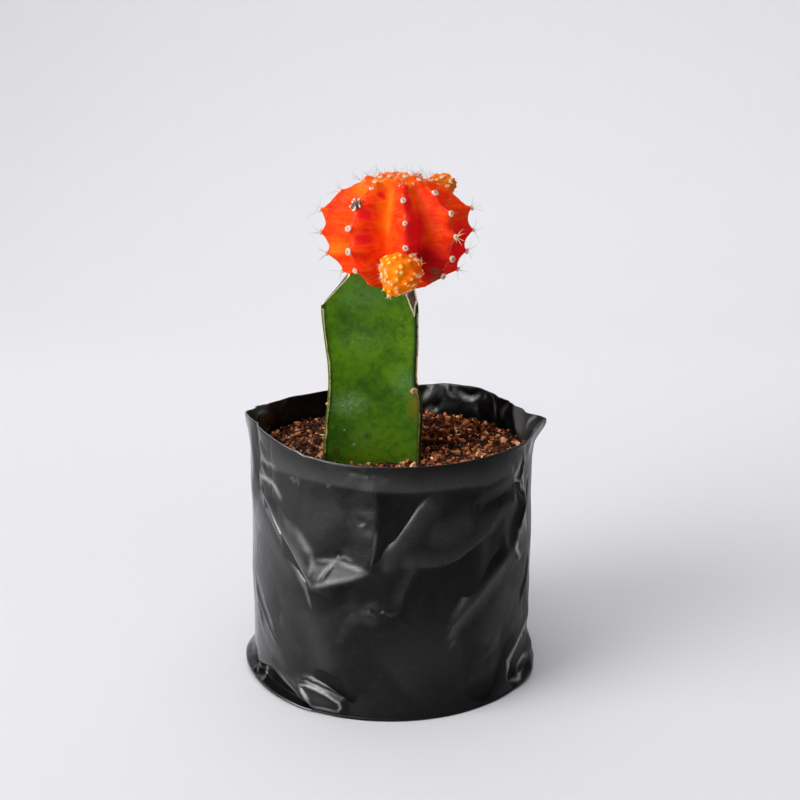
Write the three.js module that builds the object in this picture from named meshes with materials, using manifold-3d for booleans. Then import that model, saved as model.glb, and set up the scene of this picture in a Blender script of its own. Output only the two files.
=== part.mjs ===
// Potted moon cactus: an orange ribbed head grafted on a green three-angled stock,
// standing in a black film nursery bag filled with coarse potting mix.
// Millimetres, +Z up, origin on the ground under the middle of the bag.
// Angles run round +Z from the front of the pot, which faces -Y, towards +X.

import * as THREE from 'three';
import { mergeVertices } from 'three/addons/utils/BufferGeometryUtils.js';
import Module from 'manifold-3d';

const wasm = await Module();
wasm.setup();

const TURN = Math.PI * 2;
const { degToRad, lerp, smoothstep, euclideanModulo } = THREE.MathUtils;

// Driving dimensions
const GAP = 0.3; // clearance between pieces that touch
const WELD = 1e-4; // points closer than this are one point

const BAG = {
  height: 87,
  wallRadius: 48.4,
  baseRadius: 50.4,
  rimRadius: 47.5,
  bottomEdge: 0.5,
  film: 0.8,
  columns: 56,
  rows: [1.5, 4, 7, 11, 16, 21.5, 27, 32.5, 38, 43.5, 49, 54.5, 60, 66, 72, 77.6, 82, 87],
};
const SOIL = { level: 77.6, crumb: 1.3, rings: [42, 37, 32, 27, 22, 16, 9] };
const STOCK = { axis: new THREE.Vector2(-7, -2.8), foot: 40, top: 140, steps: 18 };
const HEAD = {
  centre: new THREE.Vector3(1.9, -2.5, 152.2),
  radius: 24.9,
  rise: 20.6,
  drop: 18,
  ribTurns: [3.5, 47.5, 93, 138, 183, 228, 274, 321].map(degToRad),
  valley: 0.56,
  valleySkew: degToRad(3.5),
  notch: 1.35,
  crownDip: 1.6,
  columnsPerRib: 6,
  rows: 26,
};
const AREOLE = { radius: 0.95, pitch: degToRad(22.5), crowding: 0.6, lowest: degToRad(128) };
const SPINE = { radius: 0.28, length: 6, sunk: 0.6, perAreole: 4, lean: degToRad(52) };
const BUD_SPINE = { radius: 0.24, length: 4, sunk: 1.6 };

// Repeatable random numbers from 0 to 1
function drawer(seed) {
  let state = seed;
  return () => {
    state = (state * 1664525 + 1013904223) % 4294967296;
    return state / 4294967296;
  };
}

// Solids from geometries, and back
function solidOf(geometry) {
  geometry.deleteAttribute('normal');
  geometry.deleteAttribute('uv');
  const welded = mergeVertices(geometry, WELD);
  const corners = welded.index.array;
  const kept = [];
  for (let i = 0; i < corners.length; i += 3) {
    const [a, b, c] = corners.slice(i, i + 3);
    if (a !== b && b !== c && c !== a) kept.push(a, b, c);
  }
  return new wasm.Manifold(new wasm.Mesh({
    numProp: 3,
    vertProperties: welded.attributes.position.array,
    triVerts: Uint32Array.from(kept),
  }));
}

function geometryOf(solid) {
  const { vertProperties, triVerts } = solid.getMesh();
  const geometry = new THREE.BufferGeometry();
  geometry.setAttribute('position', new THREE.BufferAttribute(vertProperties, 3));
  geometry.setIndex(new THREE.BufferAttribute(triVerts, 1));
  geometry.computeVertexNormals();
  return geometry;
}

// Turns a profile of [radius, height] points once round +Z, and lets a rule locate every point
function turned(profile, columns, locate) {
  const points = profile.map(([radius, height]) => new THREE.Vector2(radius, height));
  const geometry = new THREE.LatheGeometry(points, columns);
  const position = geometry.attributes.position;
  for (let column = 0; column <= columns; column += 1) {
    profile.forEach(([radius, height], row) => {
      const point = locate(column % columns, radius, height);
      position.setXYZ(column * profile.length + row, point.x, point.y, point.z);
    });
  }
  return geometry;
}

function polarPoint(angle, radius, height) {
  return new THREE.Vector3(radius * Math.sin(angle), -radius * Math.cos(angle), height);
}

// A soft hump of height 1 at a middle angle, all in degrees
function hump(angle, middle, width) {
  const away = euclideanModulo(angle - middle + 180, 360) - 180;
  return Math.exp(-0.5 * (away / width) ** 2);
}

// Film bag: its wall is a round tube of film with folds in it.
// Each fold is a straight line on the wall from one [angle, height] to another, with its rise and half width.
const FOLDS = [
  { from: [-67, 80], to: [-67.5, 68], rise: -1.8, width: 6 },
  { from: [-67.5, 68], to: [-32.6, 45], rise: -2.2, width: 6 },
  { from: [-60, 74], to: [-25, 50], rise: 1.1, width: 7 },
  { from: [-33, 45], to: [-8.6, 52], rise: 2.4, width: 7 },
  { from: [-5, 78], to: [-8.6, 52], rise: 1.5, width: 7 },
  { from: [-5, 50], to: [18, 77], rise: -1.8, width: 7 },
  { from: [10, 51], to: [55, 65], rise: 1.8, width: 8 },
  { from: [4, 40], to: [50, 56], rise: -1.9, width: 8 },
  { from: [-7, 38], to: [10, 46], rise: 1.3, width: 6 },
  { from: [23, 26], to: [57, 47], rise: 1.7, width: 8 },
  { from: [64, 76], to: [70, 58], rise: -1.5, width: 5 },
  { from: [76, 70], to: [66, 24], rise: 1.2, width: 6 },
  { from: [52, 12], to: [40, 2], rise: -0.8, width: 5 },
  { from: [-98, 66], to: [-88, 48], rise: 1, width: 8 },
  { from: [112, 76], to: [150, 44], rise: -1.9, width: 8 },
  { from: [150, 44], to: [176, 58], rise: 2, width: 8 },
  { from: [150, 44], to: [122, 14], rise: 1.5, width: 8 },
  { from: [196, 78], to: [180, 30], rise: -1.6, width: 8 },
  { from: [206, 62], to: [240, 36], rise: 2, width: 8 },
  { from: [240, 36], to: [216, 10], rise: -1.5, width: 8 },
  { from: [250, 76], to: [236, 50], rise: -1.4, width: 7 },
];

function foldRise(fold, angle, height) {
  const across = degToRad(1) * BAG.wallRadius;
  const turn = euclideanModulo(angle - fold.from[0] + 180, 360) - 180;
  const run = new THREE.Vector2((fold.to[0] - fold.from[0]) * across, fold.to[1] - fold.from[1]);
  const point = new THREE.Vector2(turn * across, height - fold.from[1]);
  const along = THREE.MathUtils.clamp(point.dot(run) / run.lengthSq(), 0, 1);
  const distance = point.distanceTo(run.multiplyScalar(along));
  return fold.rise * Math.max(0, 1 - distance / fold.width);
}

function rimHeight(angle) {
  const leftCorner = 5.4 * hump(angle, -73, 24);
  const rightCorner = 1.6 * hump(angle, 88, 10);
  const back = 2.2 * hump(angle, 146, 17);
  return BAG.height - 0.5 + leftCorner + rightCorner + back;
}

// Radius of the outside of the film, without the lip round the base
function wallRadius(angle, height) {
  const facing = Math.cos(degToRad(angle)) ** 2; // 1 at the front and back, 0 at the lay-flat corners
  const flare = (BAG.baseRadius - BAG.wallRadius) * Math.exp(-height / lerp(2.5, 14, facing));
  const mouth = facing * (BAG.wallRadius - BAG.rimRadius) * smoothstep(height, 60, BAG.height);
  const folds = FOLDS.reduce((sum, fold) => sum + foldRise(fold, angle, height), 0);
  const foldsFade = smoothstep(height, 0, 8) * (1 - 0.7 * smoothstep(height, 74, 80));
  const nearRim = smoothstep(height, BAG.height - 8, BAG.height - 0.5);
  const spout = nearRim * (3.7 * hump(angle, 91, 6) + 1.6 * hump(angle, -90, 7));
  return BAG.wallRadius + flare - mouth + folds * foldsFade + spout;
}

// The folded lip that stands out round the base, widest at the left and in an ear at the right
function lipRise(angle, height) {
  const reach = 1.9 * hump(angle, -80, 28) + 1.1 * hump(angle, 72, 10) + 1.5 * hump(angle, 165, 34);
  const roundedUnder = lerp(0.4, 1, smoothstep(height, 0, 2));
  return reach * roundedUnder * (1 - smoothstep(height, 3, 8));
}

function bagShell(bottom, rows, radiusAt) {
  const profile = [[0, bottom], [1, bottom], ...rows.map((row) => [1, row]), [0, rows.at(-1)]];
  return turned(profile, BAG.columns, (column, radius, height) => {
    const angle = column * 360 / BAG.columns;
    const edge = height === bottom ? BAG.bottomEdge : 0;
    return polarPoint(degToRad(angle), radius * (radiusAt(angle, height) - edge), height);
  });
}

// Lifts what lies above the soil so that the top row follows the uneven rim
function liftToRim(geometry) {
  const position = geometry.attributes.position;
  for (let i = 0; i < position.count; i += 1) {
    const [x, y, z] = [position.getX(i), position.getY(i), position.getZ(i)];
    const angle = THREE.MathUtils.radToDeg(Math.atan2(x, -y));
    const share = (z - SOIL.level) / (BAG.height - SOIL.level);
    if (share > 0 && Math.hypot(x, y) > WELD) position.setZ(i, z + share * (rimHeight(angle) - BAG.height));
  }
  return geometry;
}

function growBag() {
  const outside = bagShell(0, BAG.rows, (angle, height) => {
    return wallRadius(angle, height) + lipRise(angle, height);
  });
  const aboveRim = BAG.height + 9;
  const hollowRows = [...BAG.rows.slice(1), aboveRim];
  const hollow = bagShell(BAG.film, hollowRows, (angle, height) => {
    return wallRadius(angle, Math.min(height, BAG.height)) - BAG.film;
  });
  return solidOf(liftToRim(outside)).subtract(solidOf(liftToRim(hollow)));
}

// Potting mix: fills the bag and shows coarse crumbs on top, every second point high and the rest low
function crumbHeights() {
  const draw = drawer(7);
  return SOIL.rings.map((radius, ring) => {
    return Array.from({ length: BAG.columns }, (_, column) => {
      const side = (ring + column) % 2 === 0 ? 1 : -1;
      const crowding = Math.min(1, radius / SOIL.rings[2]);
      return side * crowding * SOIL.crumb * lerp(0.2, 1, draw());
    });
  });
}

function pottingMix() {
  const inset = BAG.film + GAP;
  const crumbs = crumbHeights();
  const wallRows = BAG.rows.slice(1).filter((row) => row <= SOIL.level);
  const profile = [
    [0, inset],
    ...[inset, ...wallRows].map((row) => [BAG.wallRadius, row]),
    ...SOIL.rings.map((radius) => [radius, SOIL.level]),
    [0, SOIL.level],
  ];
  return solidOf(turned(profile, BAG.columns, (column, radius, height) => {
    const angle = column * 360 / BAG.columns;
    if (radius === BAG.wallRadius) {
      const edge = height === inset ? BAG.bottomEdge : 0;
      return polarPoint(degToRad(angle), wallRadius(angle, height) - inset - edge, height);
    }
    const ring = SOIL.rings.indexOf(radius);
    return polarPoint(degToRad(angle), radius, height + (ring < 0 ? 0 : crumbs[ring][column]));
  }));
}

// Stock: a three-angled stem with slightly hollow faces and blunt rib margins.
// Its section is given by the two edges of each rib margin, all at full reach.
const RIB_EDGES = [
  [[-22.9, -10.1], [-22.3, -12.3]],
  [[8.7, -12.3], [10, -10.3]],
  [[-5.7, 15.6], [-7.9, 15.6]],
];
const FACE_HOLLOWS = [1.2, 2.4, 2.4];

function stockSection() {
  const shape = new THREE.Shape();
  shape.moveTo(...RIB_EDGES[0][1]);
  RIB_EDGES.forEach(([, start], rib) => {
    const [end, far] = RIB_EDGES[(rib + 1) % RIB_EDGES.length];
    const middle = new THREE.Vector2((start[0] + end[0]) / 2, (start[1] + end[1]) / 2);
    const inward = STOCK.axis.clone().sub(middle).setLength(2 * FACE_HOLLOWS[rib]);
    middle.add(inward);
    shape.quadraticCurveTo(middle.x, middle.y, ...end);
    if (rib < RIB_EDGES.length - 1) shape.lineTo(...far);
  });
  shape.closePath();
  return shape;
}

// How far a rib reaches at a height, as a share of its full reach: each swells and narrows along the stem
function leftReach(height) {
  return 1 - 0.065 * (1 - Math.cos(TURN * (height - 130) / 50));
}

function rightReach(height) {
  const underAreole = 0.08 * (1 - smoothstep(height, 98, 104));
  return 0.955 + underAreole - 0.015 * (1 - Math.cos(TURN * (height - 121) / 28));
}

function backReach(height) {
  return 1 - 0.04 * (1 - Math.cos(TURN * (height - 112) / 50));
}

function stockBody(grow) {
  const slant = 1.6; // growth along a radius for each unit square to a slanting face
  const section = new THREE.Shape(stockSection().getPoints(5).map((point) => {
    const outward = point.clone().sub(STOCK.axis);
    return point.clone().add(outward.setLength(grow * slant));
  }));
  const geometry = new THREE.ExtrudeGeometry(section, {
    depth: STOCK.top - STOCK.foot + 2 * grow,
    steps: STOCK.steps,
    bevelEnabled: false,
  });
  geometry.translate(0, 0, STOCK.foot - grow);
  const position = geometry.attributes.position;
  for (let i = 0; i < position.count; i += 1) {
    const height = position.getZ(i);
    const x = position.getX(i) - STOCK.axis.x;
    const y = position.getY(i) - STOCK.axis.y;
    position.setX(i, STOCK.axis.x + x * (x < 0 ? leftReach(height) : rightReach(height)));
    position.setY(i, STOCK.axis.y + y * (y > 0 ? backReach(height) : 1));
  }
  return solidOf(geometry);
}

// A block whose lower face lies on a plane, for slicing off what is above it
function blockAbove(point, normal) {
  const size = 80;
  const block = new THREE.BoxGeometry(size, size, size);
  block.translate(0, 0, size / 2);
  const up = new THREE.Vector3(0, 0, 1);
  block.applyQuaternion(new THREE.Quaternion().setFromUnitVectors(up, normal.clone().normalize()));
  block.translate(point.x, point.y, point.z);
  return solidOf(block);
}

// The grafting cuts: a bevel across each rib's shoulder
const SHOULDER_CUTS = [
  { point: new THREE.Vector3(-22.8, -12, 130.2), normal: new THREE.Vector3(-9.7, 0, 9.2) },
  { point: new THREE.Vector3(8.8, -12, 125.9), normal: new THREE.Vector3(8.6, -1, 4.2) },
  { point: new THREE.Vector3(-7, 15, 128), normal: new THREE.Vector3(0, 8, 7) },
];

function rootstock(grow = 0) {
  return SHOULDER_CUTS.reduce((solid, { point, normal }) => {
    const lifted = point.clone().addScaledVector(normal.clone().normalize(), grow);
    return solid.subtract(blockAbove(lifted, normal));
  }, stockBody(grow));
}

// One felted areole on the margin of each rib
const STOCK_AREOLES = [
  new THREE.Vector3(8.1, -11.9, 101.2),
  new THREE.Vector3(-20.6, -11.6, 97),
  new THREE.Vector3(-6.8, 14.3, 104),
];

function rootstockWithAreoles() {
  return STOCK_AREOLES.reduce((solid, centre) => {
    const disc = new THREE.SphereGeometry(1.4, 8, 6);
    disc.translate(centre.x, centre.y, centre.z);
    return solid.add(solidOf(disc));
  }, rootstock());
}

// Head: a squat globe of sharp ribs with flat flanks. Polar angles run from the crown down.
// Each rib carries its own areoles, the first of them at this angle from the crown.
const FIRST_AREOLES = [42, 36.5, 49.5, 40, 46, 37, 47, 52].map(degToRad);

function areoleAngles(rib) {
  const first = FIRST_AREOLES[rib];
  const below = Array.from({ length: 7 }, (_, i) => first + i * AREOLE.pitch);
  const above = [first * AREOLE.crowding, first * AREOLE.crowding ** 2];
  return [...above, ...below].filter((angle) => angle < AREOLE.lowest);
}

// 0 at an areole, 1 in the notch between two of them
function notchDepth(rib, polar) {
  const share = euclideanModulo((polar - FIRST_AREOLES[rib]) / AREOLE.pitch, 1);
  const deepest = 0.57;
  const depth = share < deepest ? share / deepest : (1 - share) / (1 - deepest);
  return depth * smoothstep(polar, degToRad(20), degToRad(45));
}

// A point on the head: across runs from 0 on a rib's crest through 1 in the valley to 2 on the next crest
function headPoint(rib, across, polar) {
  const leaving = across <= 1;
  const next = (rib + 1) % HEAD.ribTurns.length;
  const half = euclideanModulo(HEAD.ribTurns[next] - HEAD.ribTurns[rib], TURN) / 2;
  const span = leaving ? half + HEAD.valleySkew : half - HEAD.valleySkew;
  const share = leaving ? across : 2 - across;
  const owner = leaving ? rib : next;
  const fromCrest = share * span;
  const straight = Math.sin(fromCrest) + HEAD.valley * Math.sin(span - fromCrest);
  const flank = HEAD.valley * Math.sin(span) / straight;
  const swell = 1.1 * Math.sin(Math.PI * share);
  const notch = HEAD.notch * notchDepth(owner, polar) * (1 - share) ** 2;
  const radius = (HEAD.radius * flank + swell - notch) * Math.sin(polar);
  const turn = HEAD.ribTurns[rib] + (leaving ? fromCrest : 2 * half - fromCrest);
  const height = polar < Math.PI / 2 ? HEAD.rise : HEAD.drop;
  const dip = HEAD.crownDip * Math.exp(-((polar / degToRad(18)) ** 2));
  return polarPoint(turn, radius, height * Math.cos(polar) - dip).add(HEAD.centre);
}

function headBody() {
  const profile = Array.from({ length: HEAD.rows + 1 }, (_, row) => {
    const polar = Math.PI * (1 - row / HEAD.rows);
    return [row === 0 || row === HEAD.rows ? 0 : Math.sin(polar), polar];
  });
  return solidOf(turned(profile, HEAD.ribTurns.length * HEAD.columnsPerRib, (column, radius, polar) => {
    const rib = Math.floor(column / HEAD.columnsPerRib);
    const across = (column % HEAD.columnsPerRib) * 2 / HEAD.columnsPerRib;
    if (radius === 0) return headPoint(0, 0, polar < 1 ? 0 : Math.PI);
    return headPoint(rib, across, polar);
  }));
}

function spineSolid(base, direction, { radius, length, sunk }) {
  const cone = new THREE.ConeGeometry(radius, length, 3);
  cone.translate(0, length / 2 - sunk, 0);
  cone.applyQuaternion(new THREE.Quaternion().setFromUnitVectors(new THREE.Vector3(0, 1, 0), direction));
  cone.translate(base.x, base.y, base.z);
  return solidOf(cone);
}

// Spines lean out all round the direction in which their areole faces
function spineFan(base, outward, count, length, lean, draw) {
  const side = new THREE.Vector3(-outward.y, outward.x, 0.001).normalize();
  const start = draw() * TURN;
  return Array.from({ length: count }, (_, i) => {
    const turn = start + TURN * i / count;
    const axis = side.clone().applyAxisAngle(outward, turn);
    const direction = outward.clone().applyAxisAngle(axis, lean);
    return spineSolid(base, direction, { ...SPINE, length: length * lerp(0.8, 1.15, draw()) });
  });
}

// Offsets: small knobbly buds that grow from the head
const OFFSETS = {
  front: {
    centre: new THREE.Vector3(3.3, -24.4, 144),
    size: new THREE.Vector3(6.9, 5.8, 7.5),
    outward: new THREE.Vector3(0, -1, -0.15).normalize(),
    knobs: 30,
    knobRise: 0.8,
    columns: 20,
    rows: 13,
    spines: 12,
    seed: 11,
  },
  crown: {
    centre: new THREE.Vector3(17.3, 3.4, 168),
    size: new THREE.Vector3(4.8, 4.7, 3.3),
    outward: new THREE.Vector3(0.55, 0.1, 0.8).normalize(),
    knobs: 18,
    knobRise: 0.6,
    columns: 16,
    rows: 10,
    spines: 9,
    seed: 23,
  },
};

// Directions spread evenly over a ball, in a sunflower's spiral
function spreadDirections(count) {
  const golden = Math.PI * (3 - Math.sqrt(5));
  return Array.from({ length: count }, (_, i) => {
    const z = 1 - (2 * i + 1) / count;
    const radius = Math.sqrt(1 - z * z);
    return new THREE.Vector3(radius * Math.cos(golden * i), radius * Math.sin(golden * i), z);
  });
}

function offsetPoint(offset, direction, grow) {
  const knob = Math.max(...offset.knobDirections.map((knobDirection) => knobDirection.dot(direction)));
  const rise = offset.knobRise * Math.exp(-Math.acos(Math.min(knob, 1)) * 6);
  return direction.clone().multiply(offset.size).addScaledVector(direction, rise + grow).add(offset.centre);
}

function offsetBody(offset, grow = 0) {
  offset.knobDirections = spreadDirections(offset.knobs);
  const profile = Array.from({ length: offset.rows + 1 }, (_, row) => {
    const polar = Math.PI * (1 - row / offset.rows);
    return [row === 0 || row === offset.rows ? 0 : Math.sin(polar), Math.cos(polar)];
  });
  return solidOf(turned(profile, offset.columns, (column, radius, height) => {
    const direction = polarPoint(TURN * column / offset.columns, radius, height);
    return offsetPoint(offset, direction.normalize(), grow);
  }));
}

function offsetBud(offset) {
  const draw = drawer(offset.seed);
  const body = offsetBody(offset);
  return offset.knobDirections
    .filter((direction) => direction.dot(offset.outward) > 0.25)
    .slice(0, offset.spines)
    .reduce((solid, direction) => {
      const lean = new THREE.Vector3(draw() - 0.5, draw() - 0.5, draw() - 0.5);
      const tilted = direction.clone().add(lean.multiplyScalar(0.5)).normalize();
      return solid.add(spineSolid(offsetPoint(offset, direction, 0), tilted, BUD_SPINE));
    }, body);
}

// Areoles that an offset has grown over, or whose spines would reach one
function nearOffset(point) {
  return Object.values(OFFSETS).some(({ centre, size }) => {
    return point.clone().sub(centre).divide(size).length() < 1.75;
  });
}

function scion() {
  const draw = drawer(3);
  let solid = headBody();
  for (let rib = 0; rib < HEAD.ribTurns.length; rib += 1) {
    for (const polar of areoleAngles(rib)) {
      const point = headPoint(rib, 0, polar);
      if (nearOffset(point)) continue;
      const outward = point.clone().sub(HEAD.centre).setLength(1);
      const felt = new THREE.IcosahedronGeometry(AREOLE.radius, 0);
      felt.translate(point.x, point.y, point.z);
      solid = solid.add(solidOf(felt));
      const crowded = polar < degToRad(32);
      const count = crowded ? SPINE.perAreole - 1 : SPINE.perAreole;
      const length = crowded ? SPINE.length * 0.7 : SPINE.length;
      const lean = crowded ? SPINE.lean * 0.6 : SPINE.lean;
      for (const spine of spineFan(point, outward, count, length, lean, draw)) solid = solid.add(spine);
    }
  }
  for (const offset of Object.values(OFFSETS)) solid = solid.subtract(offsetBody(offset, GAP));
  return solid.subtract(rootstock(GAP));
}

// The finished assembly
const MATERIALS = {
  film: new THREE.MeshStandardMaterial({ color: 0x1f1f22, roughness: 0.36, metalness: 0 }),
  mix: new THREE.MeshStandardMaterial({ color: 0x5b2c19, roughness: 0.95, metalness: 0 }),
  greenSkin: new THREE.MeshStandardMaterial({ color: 0x2f6b1a, roughness: 0.5, metalness: 0 }),
  orangeSkin: new THREE.MeshStandardMaterial({ color: 0xee4a14, roughness: 0.45, metalness: 0 }),
  yellowSkin: new THREE.MeshStandardMaterial({ color: 0xf79a1c, roughness: 0.5, metalness: 0 }),
  ochreSkin: new THREE.MeshStandardMaterial({ color: 0xd9791c, roughness: 0.5, metalness: 0 }),
};

const group = new THREE.Group();

function place(name, solid, material) {
  const mesh = new THREE.Mesh(geometryOf(solid), material);
  mesh.name = name;
  group.add(mesh);
}

place('grow_bag', growBag(), MATERIALS.film);
place('potting_mix', pottingMix().subtract(rootstock(GAP)), MATERIALS.mix);
place('rootstock', rootstockWithAreoles(), MATERIALS.greenSkin);
place('scion', scion(), MATERIALS.orangeSkin);
place('offset_front', offsetBud(OFFSETS.front), MATERIALS.yellowSkin);
place('offset_crown', offsetBud(OFFSETS.crown), MATERIALS.ochreSkin);

export default group;
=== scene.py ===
"""Potted moon cactus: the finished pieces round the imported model, their materials, the stage and the camera.

Places and sizes are in millimetres, and a mesh is given to Blender in metres. +Z is up, and the origin is
on the ground under the middle of the bag. Angles run round +Z in degrees, from the front of the pot,
which faces -Y, towards +X.
"""

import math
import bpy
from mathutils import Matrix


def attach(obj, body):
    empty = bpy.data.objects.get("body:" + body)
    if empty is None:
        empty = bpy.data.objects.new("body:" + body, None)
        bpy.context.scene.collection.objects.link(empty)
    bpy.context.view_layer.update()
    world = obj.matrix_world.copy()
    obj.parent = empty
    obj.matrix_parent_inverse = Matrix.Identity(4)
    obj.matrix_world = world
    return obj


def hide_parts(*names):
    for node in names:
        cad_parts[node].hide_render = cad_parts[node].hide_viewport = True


bl_info = {
    "name": "Potted Moon Cactus",
    "version": (1, 0, 0),
    "blender": (4, 5, 0),
    "location": "3D View > Sidebar > Cactus",
    "description": "Models a grafted moon cactus in a film nursery bag, piece by piece",
    "category": "Add Mesh",
}

import bpy
import numpy as np
from bpy.props import FloatProperty, FloatVectorProperty, IntProperty, PointerProperty
from mathutils import Matrix, Vector, geometry, noise

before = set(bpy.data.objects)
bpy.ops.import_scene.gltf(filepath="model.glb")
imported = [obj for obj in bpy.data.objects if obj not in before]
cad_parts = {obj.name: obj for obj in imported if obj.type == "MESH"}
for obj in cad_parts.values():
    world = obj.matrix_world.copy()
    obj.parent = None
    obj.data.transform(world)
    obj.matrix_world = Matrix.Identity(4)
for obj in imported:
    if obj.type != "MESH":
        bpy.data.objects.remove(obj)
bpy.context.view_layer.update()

MM = 0.001


# Curves and places

def smooth(value, low, high):
    """0 below low, 1 above high, and a soft step between."""
    share = np.clip((np.asarray(value, float) - low) / (high - low), 0, 1)
    return share * share * (3 - 2 * share)


def mix(start, end, share):
    return start + (end - start) * share


def turn_between(angle, middle):
    """The turn from middle to angle, from -180 to 180 degrees."""
    return (np.asarray(angle, float) - middle + 180) % 360 - 180


def hump(angle, middle, width):
    """A soft hump of height 1 round the middle angle."""
    return np.exp(-0.5 * (turn_between(angle, middle) / width) ** 2)


def place_around(angle, radius, height):
    """Points at an angle, a distance from the axis and a height."""
    angle, radius, height = np.broadcast_arrays(angle, radius, height)
    turn = np.radians(angle)
    return np.stack([radius * np.sin(turn), -radius * np.cos(turn), height], axis=-1)


def grain(points, size, seed=0.0):
    """Even noise from about -1 to 1 at each point, with lumps of the given size."""
    flat = np.asarray(points, float).reshape(-1, 3) / size + seed
    values = [noise.noise(point) for point in flat.tolist()]
    return np.array(values).reshape(np.shape(points)[:-1])


def unit(vectors):
    return vectors / np.linalg.norm(vectors, axis=-1, keepdims=True)


# Meshes

def deselect():
    for piece in bpy.context.selected_objects:
        piece.select_set(False)


def rename_new(name):
    piece = bpy.context.active_object
    piece.name = piece.data.name = name
    return piece


def move_points(piece, points):
    piece.data.vertices.foreach_set("co", (np.asarray(points, float) * MM).ravel())
    piece.data.update()


def points_of(piece):
    points = np.empty(len(piece.data.vertices) * 3)
    piece.data.vertices.foreach_get("co", points)
    return points.reshape(-1, 3) / MM


def rolled_sheet(name, points, **values):
    """Rolls a flat grid into a tube through the points, and welds its seam and its ends.

    The values are numbers for each point, kept on the mesh.
    """
    rows, columns = points.shape[:2]
    deselect()
    bpy.ops.mesh.primitive_grid_add(x_subdivisions=columns, y_subdivisions=rows - 1, size=1)
    piece = rename_new(name)
    move_points(piece, np.concatenate([points, points[:, :1]], axis=1))
    for key, each in values.items():
        store(piece, key, np.concatenate([each, each[:, :1]], axis=1))
    bpy.ops.object.mode_set(mode="EDIT")
    bpy.ops.mesh.select_all(action="SELECT")
    bpy.ops.mesh.remove_doubles(threshold=1e-6)
    bpy.ops.mesh.dissolve_degenerate(threshold=1e-7)
    bpy.ops.object.mode_set(mode="OBJECT")
    return piece


def store(piece, name, values):
    """Keeps a number for each point of the mesh, for its material to read."""
    attribute = piece.data.attributes.new(name, "FLOAT", "POINT")
    attribute.data.foreach_set("value", np.asarray(values, np.float32).ravel())


def copies(name, model, placements, **values):
    """Joins a copy of the model for every placement, a 4 by 4 matrix, with each copy's own values."""
    mesh = model.data
    spots = points_of(model)
    corners = np.empty(len(mesh.loops), np.int64)
    starts = np.empty(len(mesh.polygons), np.int64)
    mesh.loops.foreach_get("vertex_index", corners)
    mesh.polygons.foreach_get("loop_start", starts)
    placements = np.asarray(placements, float)
    count = len(placements)
    turned = np.einsum("nij,kj->nki", placements[:, :3, :3], spots) + placements[:, None, :3, 3]
    step = np.arange(count)[:, None]
    joined = bpy.data.meshes.new(name)
    joined.vertices.add(count * len(spots))
    joined.vertices.foreach_set("co", (turned * MM).ravel())
    joined.loops.add(count * len(corners))
    joined.loops.foreach_set("vertex_index", (corners + step * len(spots)).ravel())
    joined.polygons.add(count * len(starts))
    joined.polygons.foreach_set("loop_start", (starts + step * len(corners)).ravel())
    joined.update(calc_edges=True)
    piece = bpy.data.objects.new(name, joined)
    bpy.context.scene.collection.objects.link(piece)
    for key, each in values.items():
        each = np.asarray(each, float)
        whole = each if each.size == count * len(spots) else np.repeat(each, len(spots))
        store(piece, key, whole)
    for attribute in mesh.attributes:
        if attribute.data_type == "FLOAT" and attribute.domain == "POINT":
            each = np.empty(len(spots))
            attribute.data.foreach_get("value", each)
            store(piece, attribute.name, np.tile(each, count))
    bpy.data.objects.remove(model)
    return piece


def placement(place, turn=None, size=(1, 1, 1)):
    matrix = np.eye(4)
    matrix[:3, :3] = (np.eye(3) if turn is None else np.asarray(turn)) * np.asarray(size, float)
    matrix[:3, 3] = place
    return matrix


def facing(direction, roll=0.0):
    """A turn that takes +Z to the direction, after a roll about it."""
    quaternion = Vector(direction).to_track_quat("Z", "Y")
    return np.array(quaternion.to_matrix() @ Matrix.Rotation(roll, 3, "Z"))


def finish_piece(piece, material, replaces=(), smooth_angle=None):
    """Gives a piece its material, its shading and its place in the model."""
    piece.data.materials.clear()
    for each in material if isinstance(material, list) else [material]:  # a list for the faces' own numbers
        piece.data.materials.append(each)
    deselect()
    bpy.context.view_layer.objects.active = piece
    piece.select_set(True)
    if smooth_angle is None:
        bpy.ops.object.shade_smooth()
    else:
        bpy.ops.object.shade_smooth_by_angle(angle=math.radians(smooth_angle))
    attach(piece, "root")
    if replaces:
        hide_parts(*replaces)
    return piece


# Materials

class Field:
    """A number, colour or place that varies over a surface, so that shader maths reads as an expression."""

    def __init__(self, surface, socket):
        self.surface = surface
        self.socket = socket

    def maths(self, operation, first, second):
        return self.surface.add("Math", {"operation": operation}, {0: first, 1: second})

    def __add__(self, other):
        return self.maths("ADD", self, other)

    def __radd__(self, other):
        return self.maths("ADD", other, self)

    def __sub__(self, other):
        return self.maths("SUBTRACT", self, other)

    def __rsub__(self, other):
        return self.maths("SUBTRACT", other, self)

    def __mul__(self, other):
        return self.maths("MULTIPLY", self, other)

    def step(self, low, high):
        """0 below low, 1 above high, and a soft step between."""
        ranges = {"From Min": low, "From Max": high, "To Min": 0, "To Max": 1}
        return self.surface.add("MapRange", {"interpolation_type": "SMOOTHSTEP"}, {"Value": self, **ranges})


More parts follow.
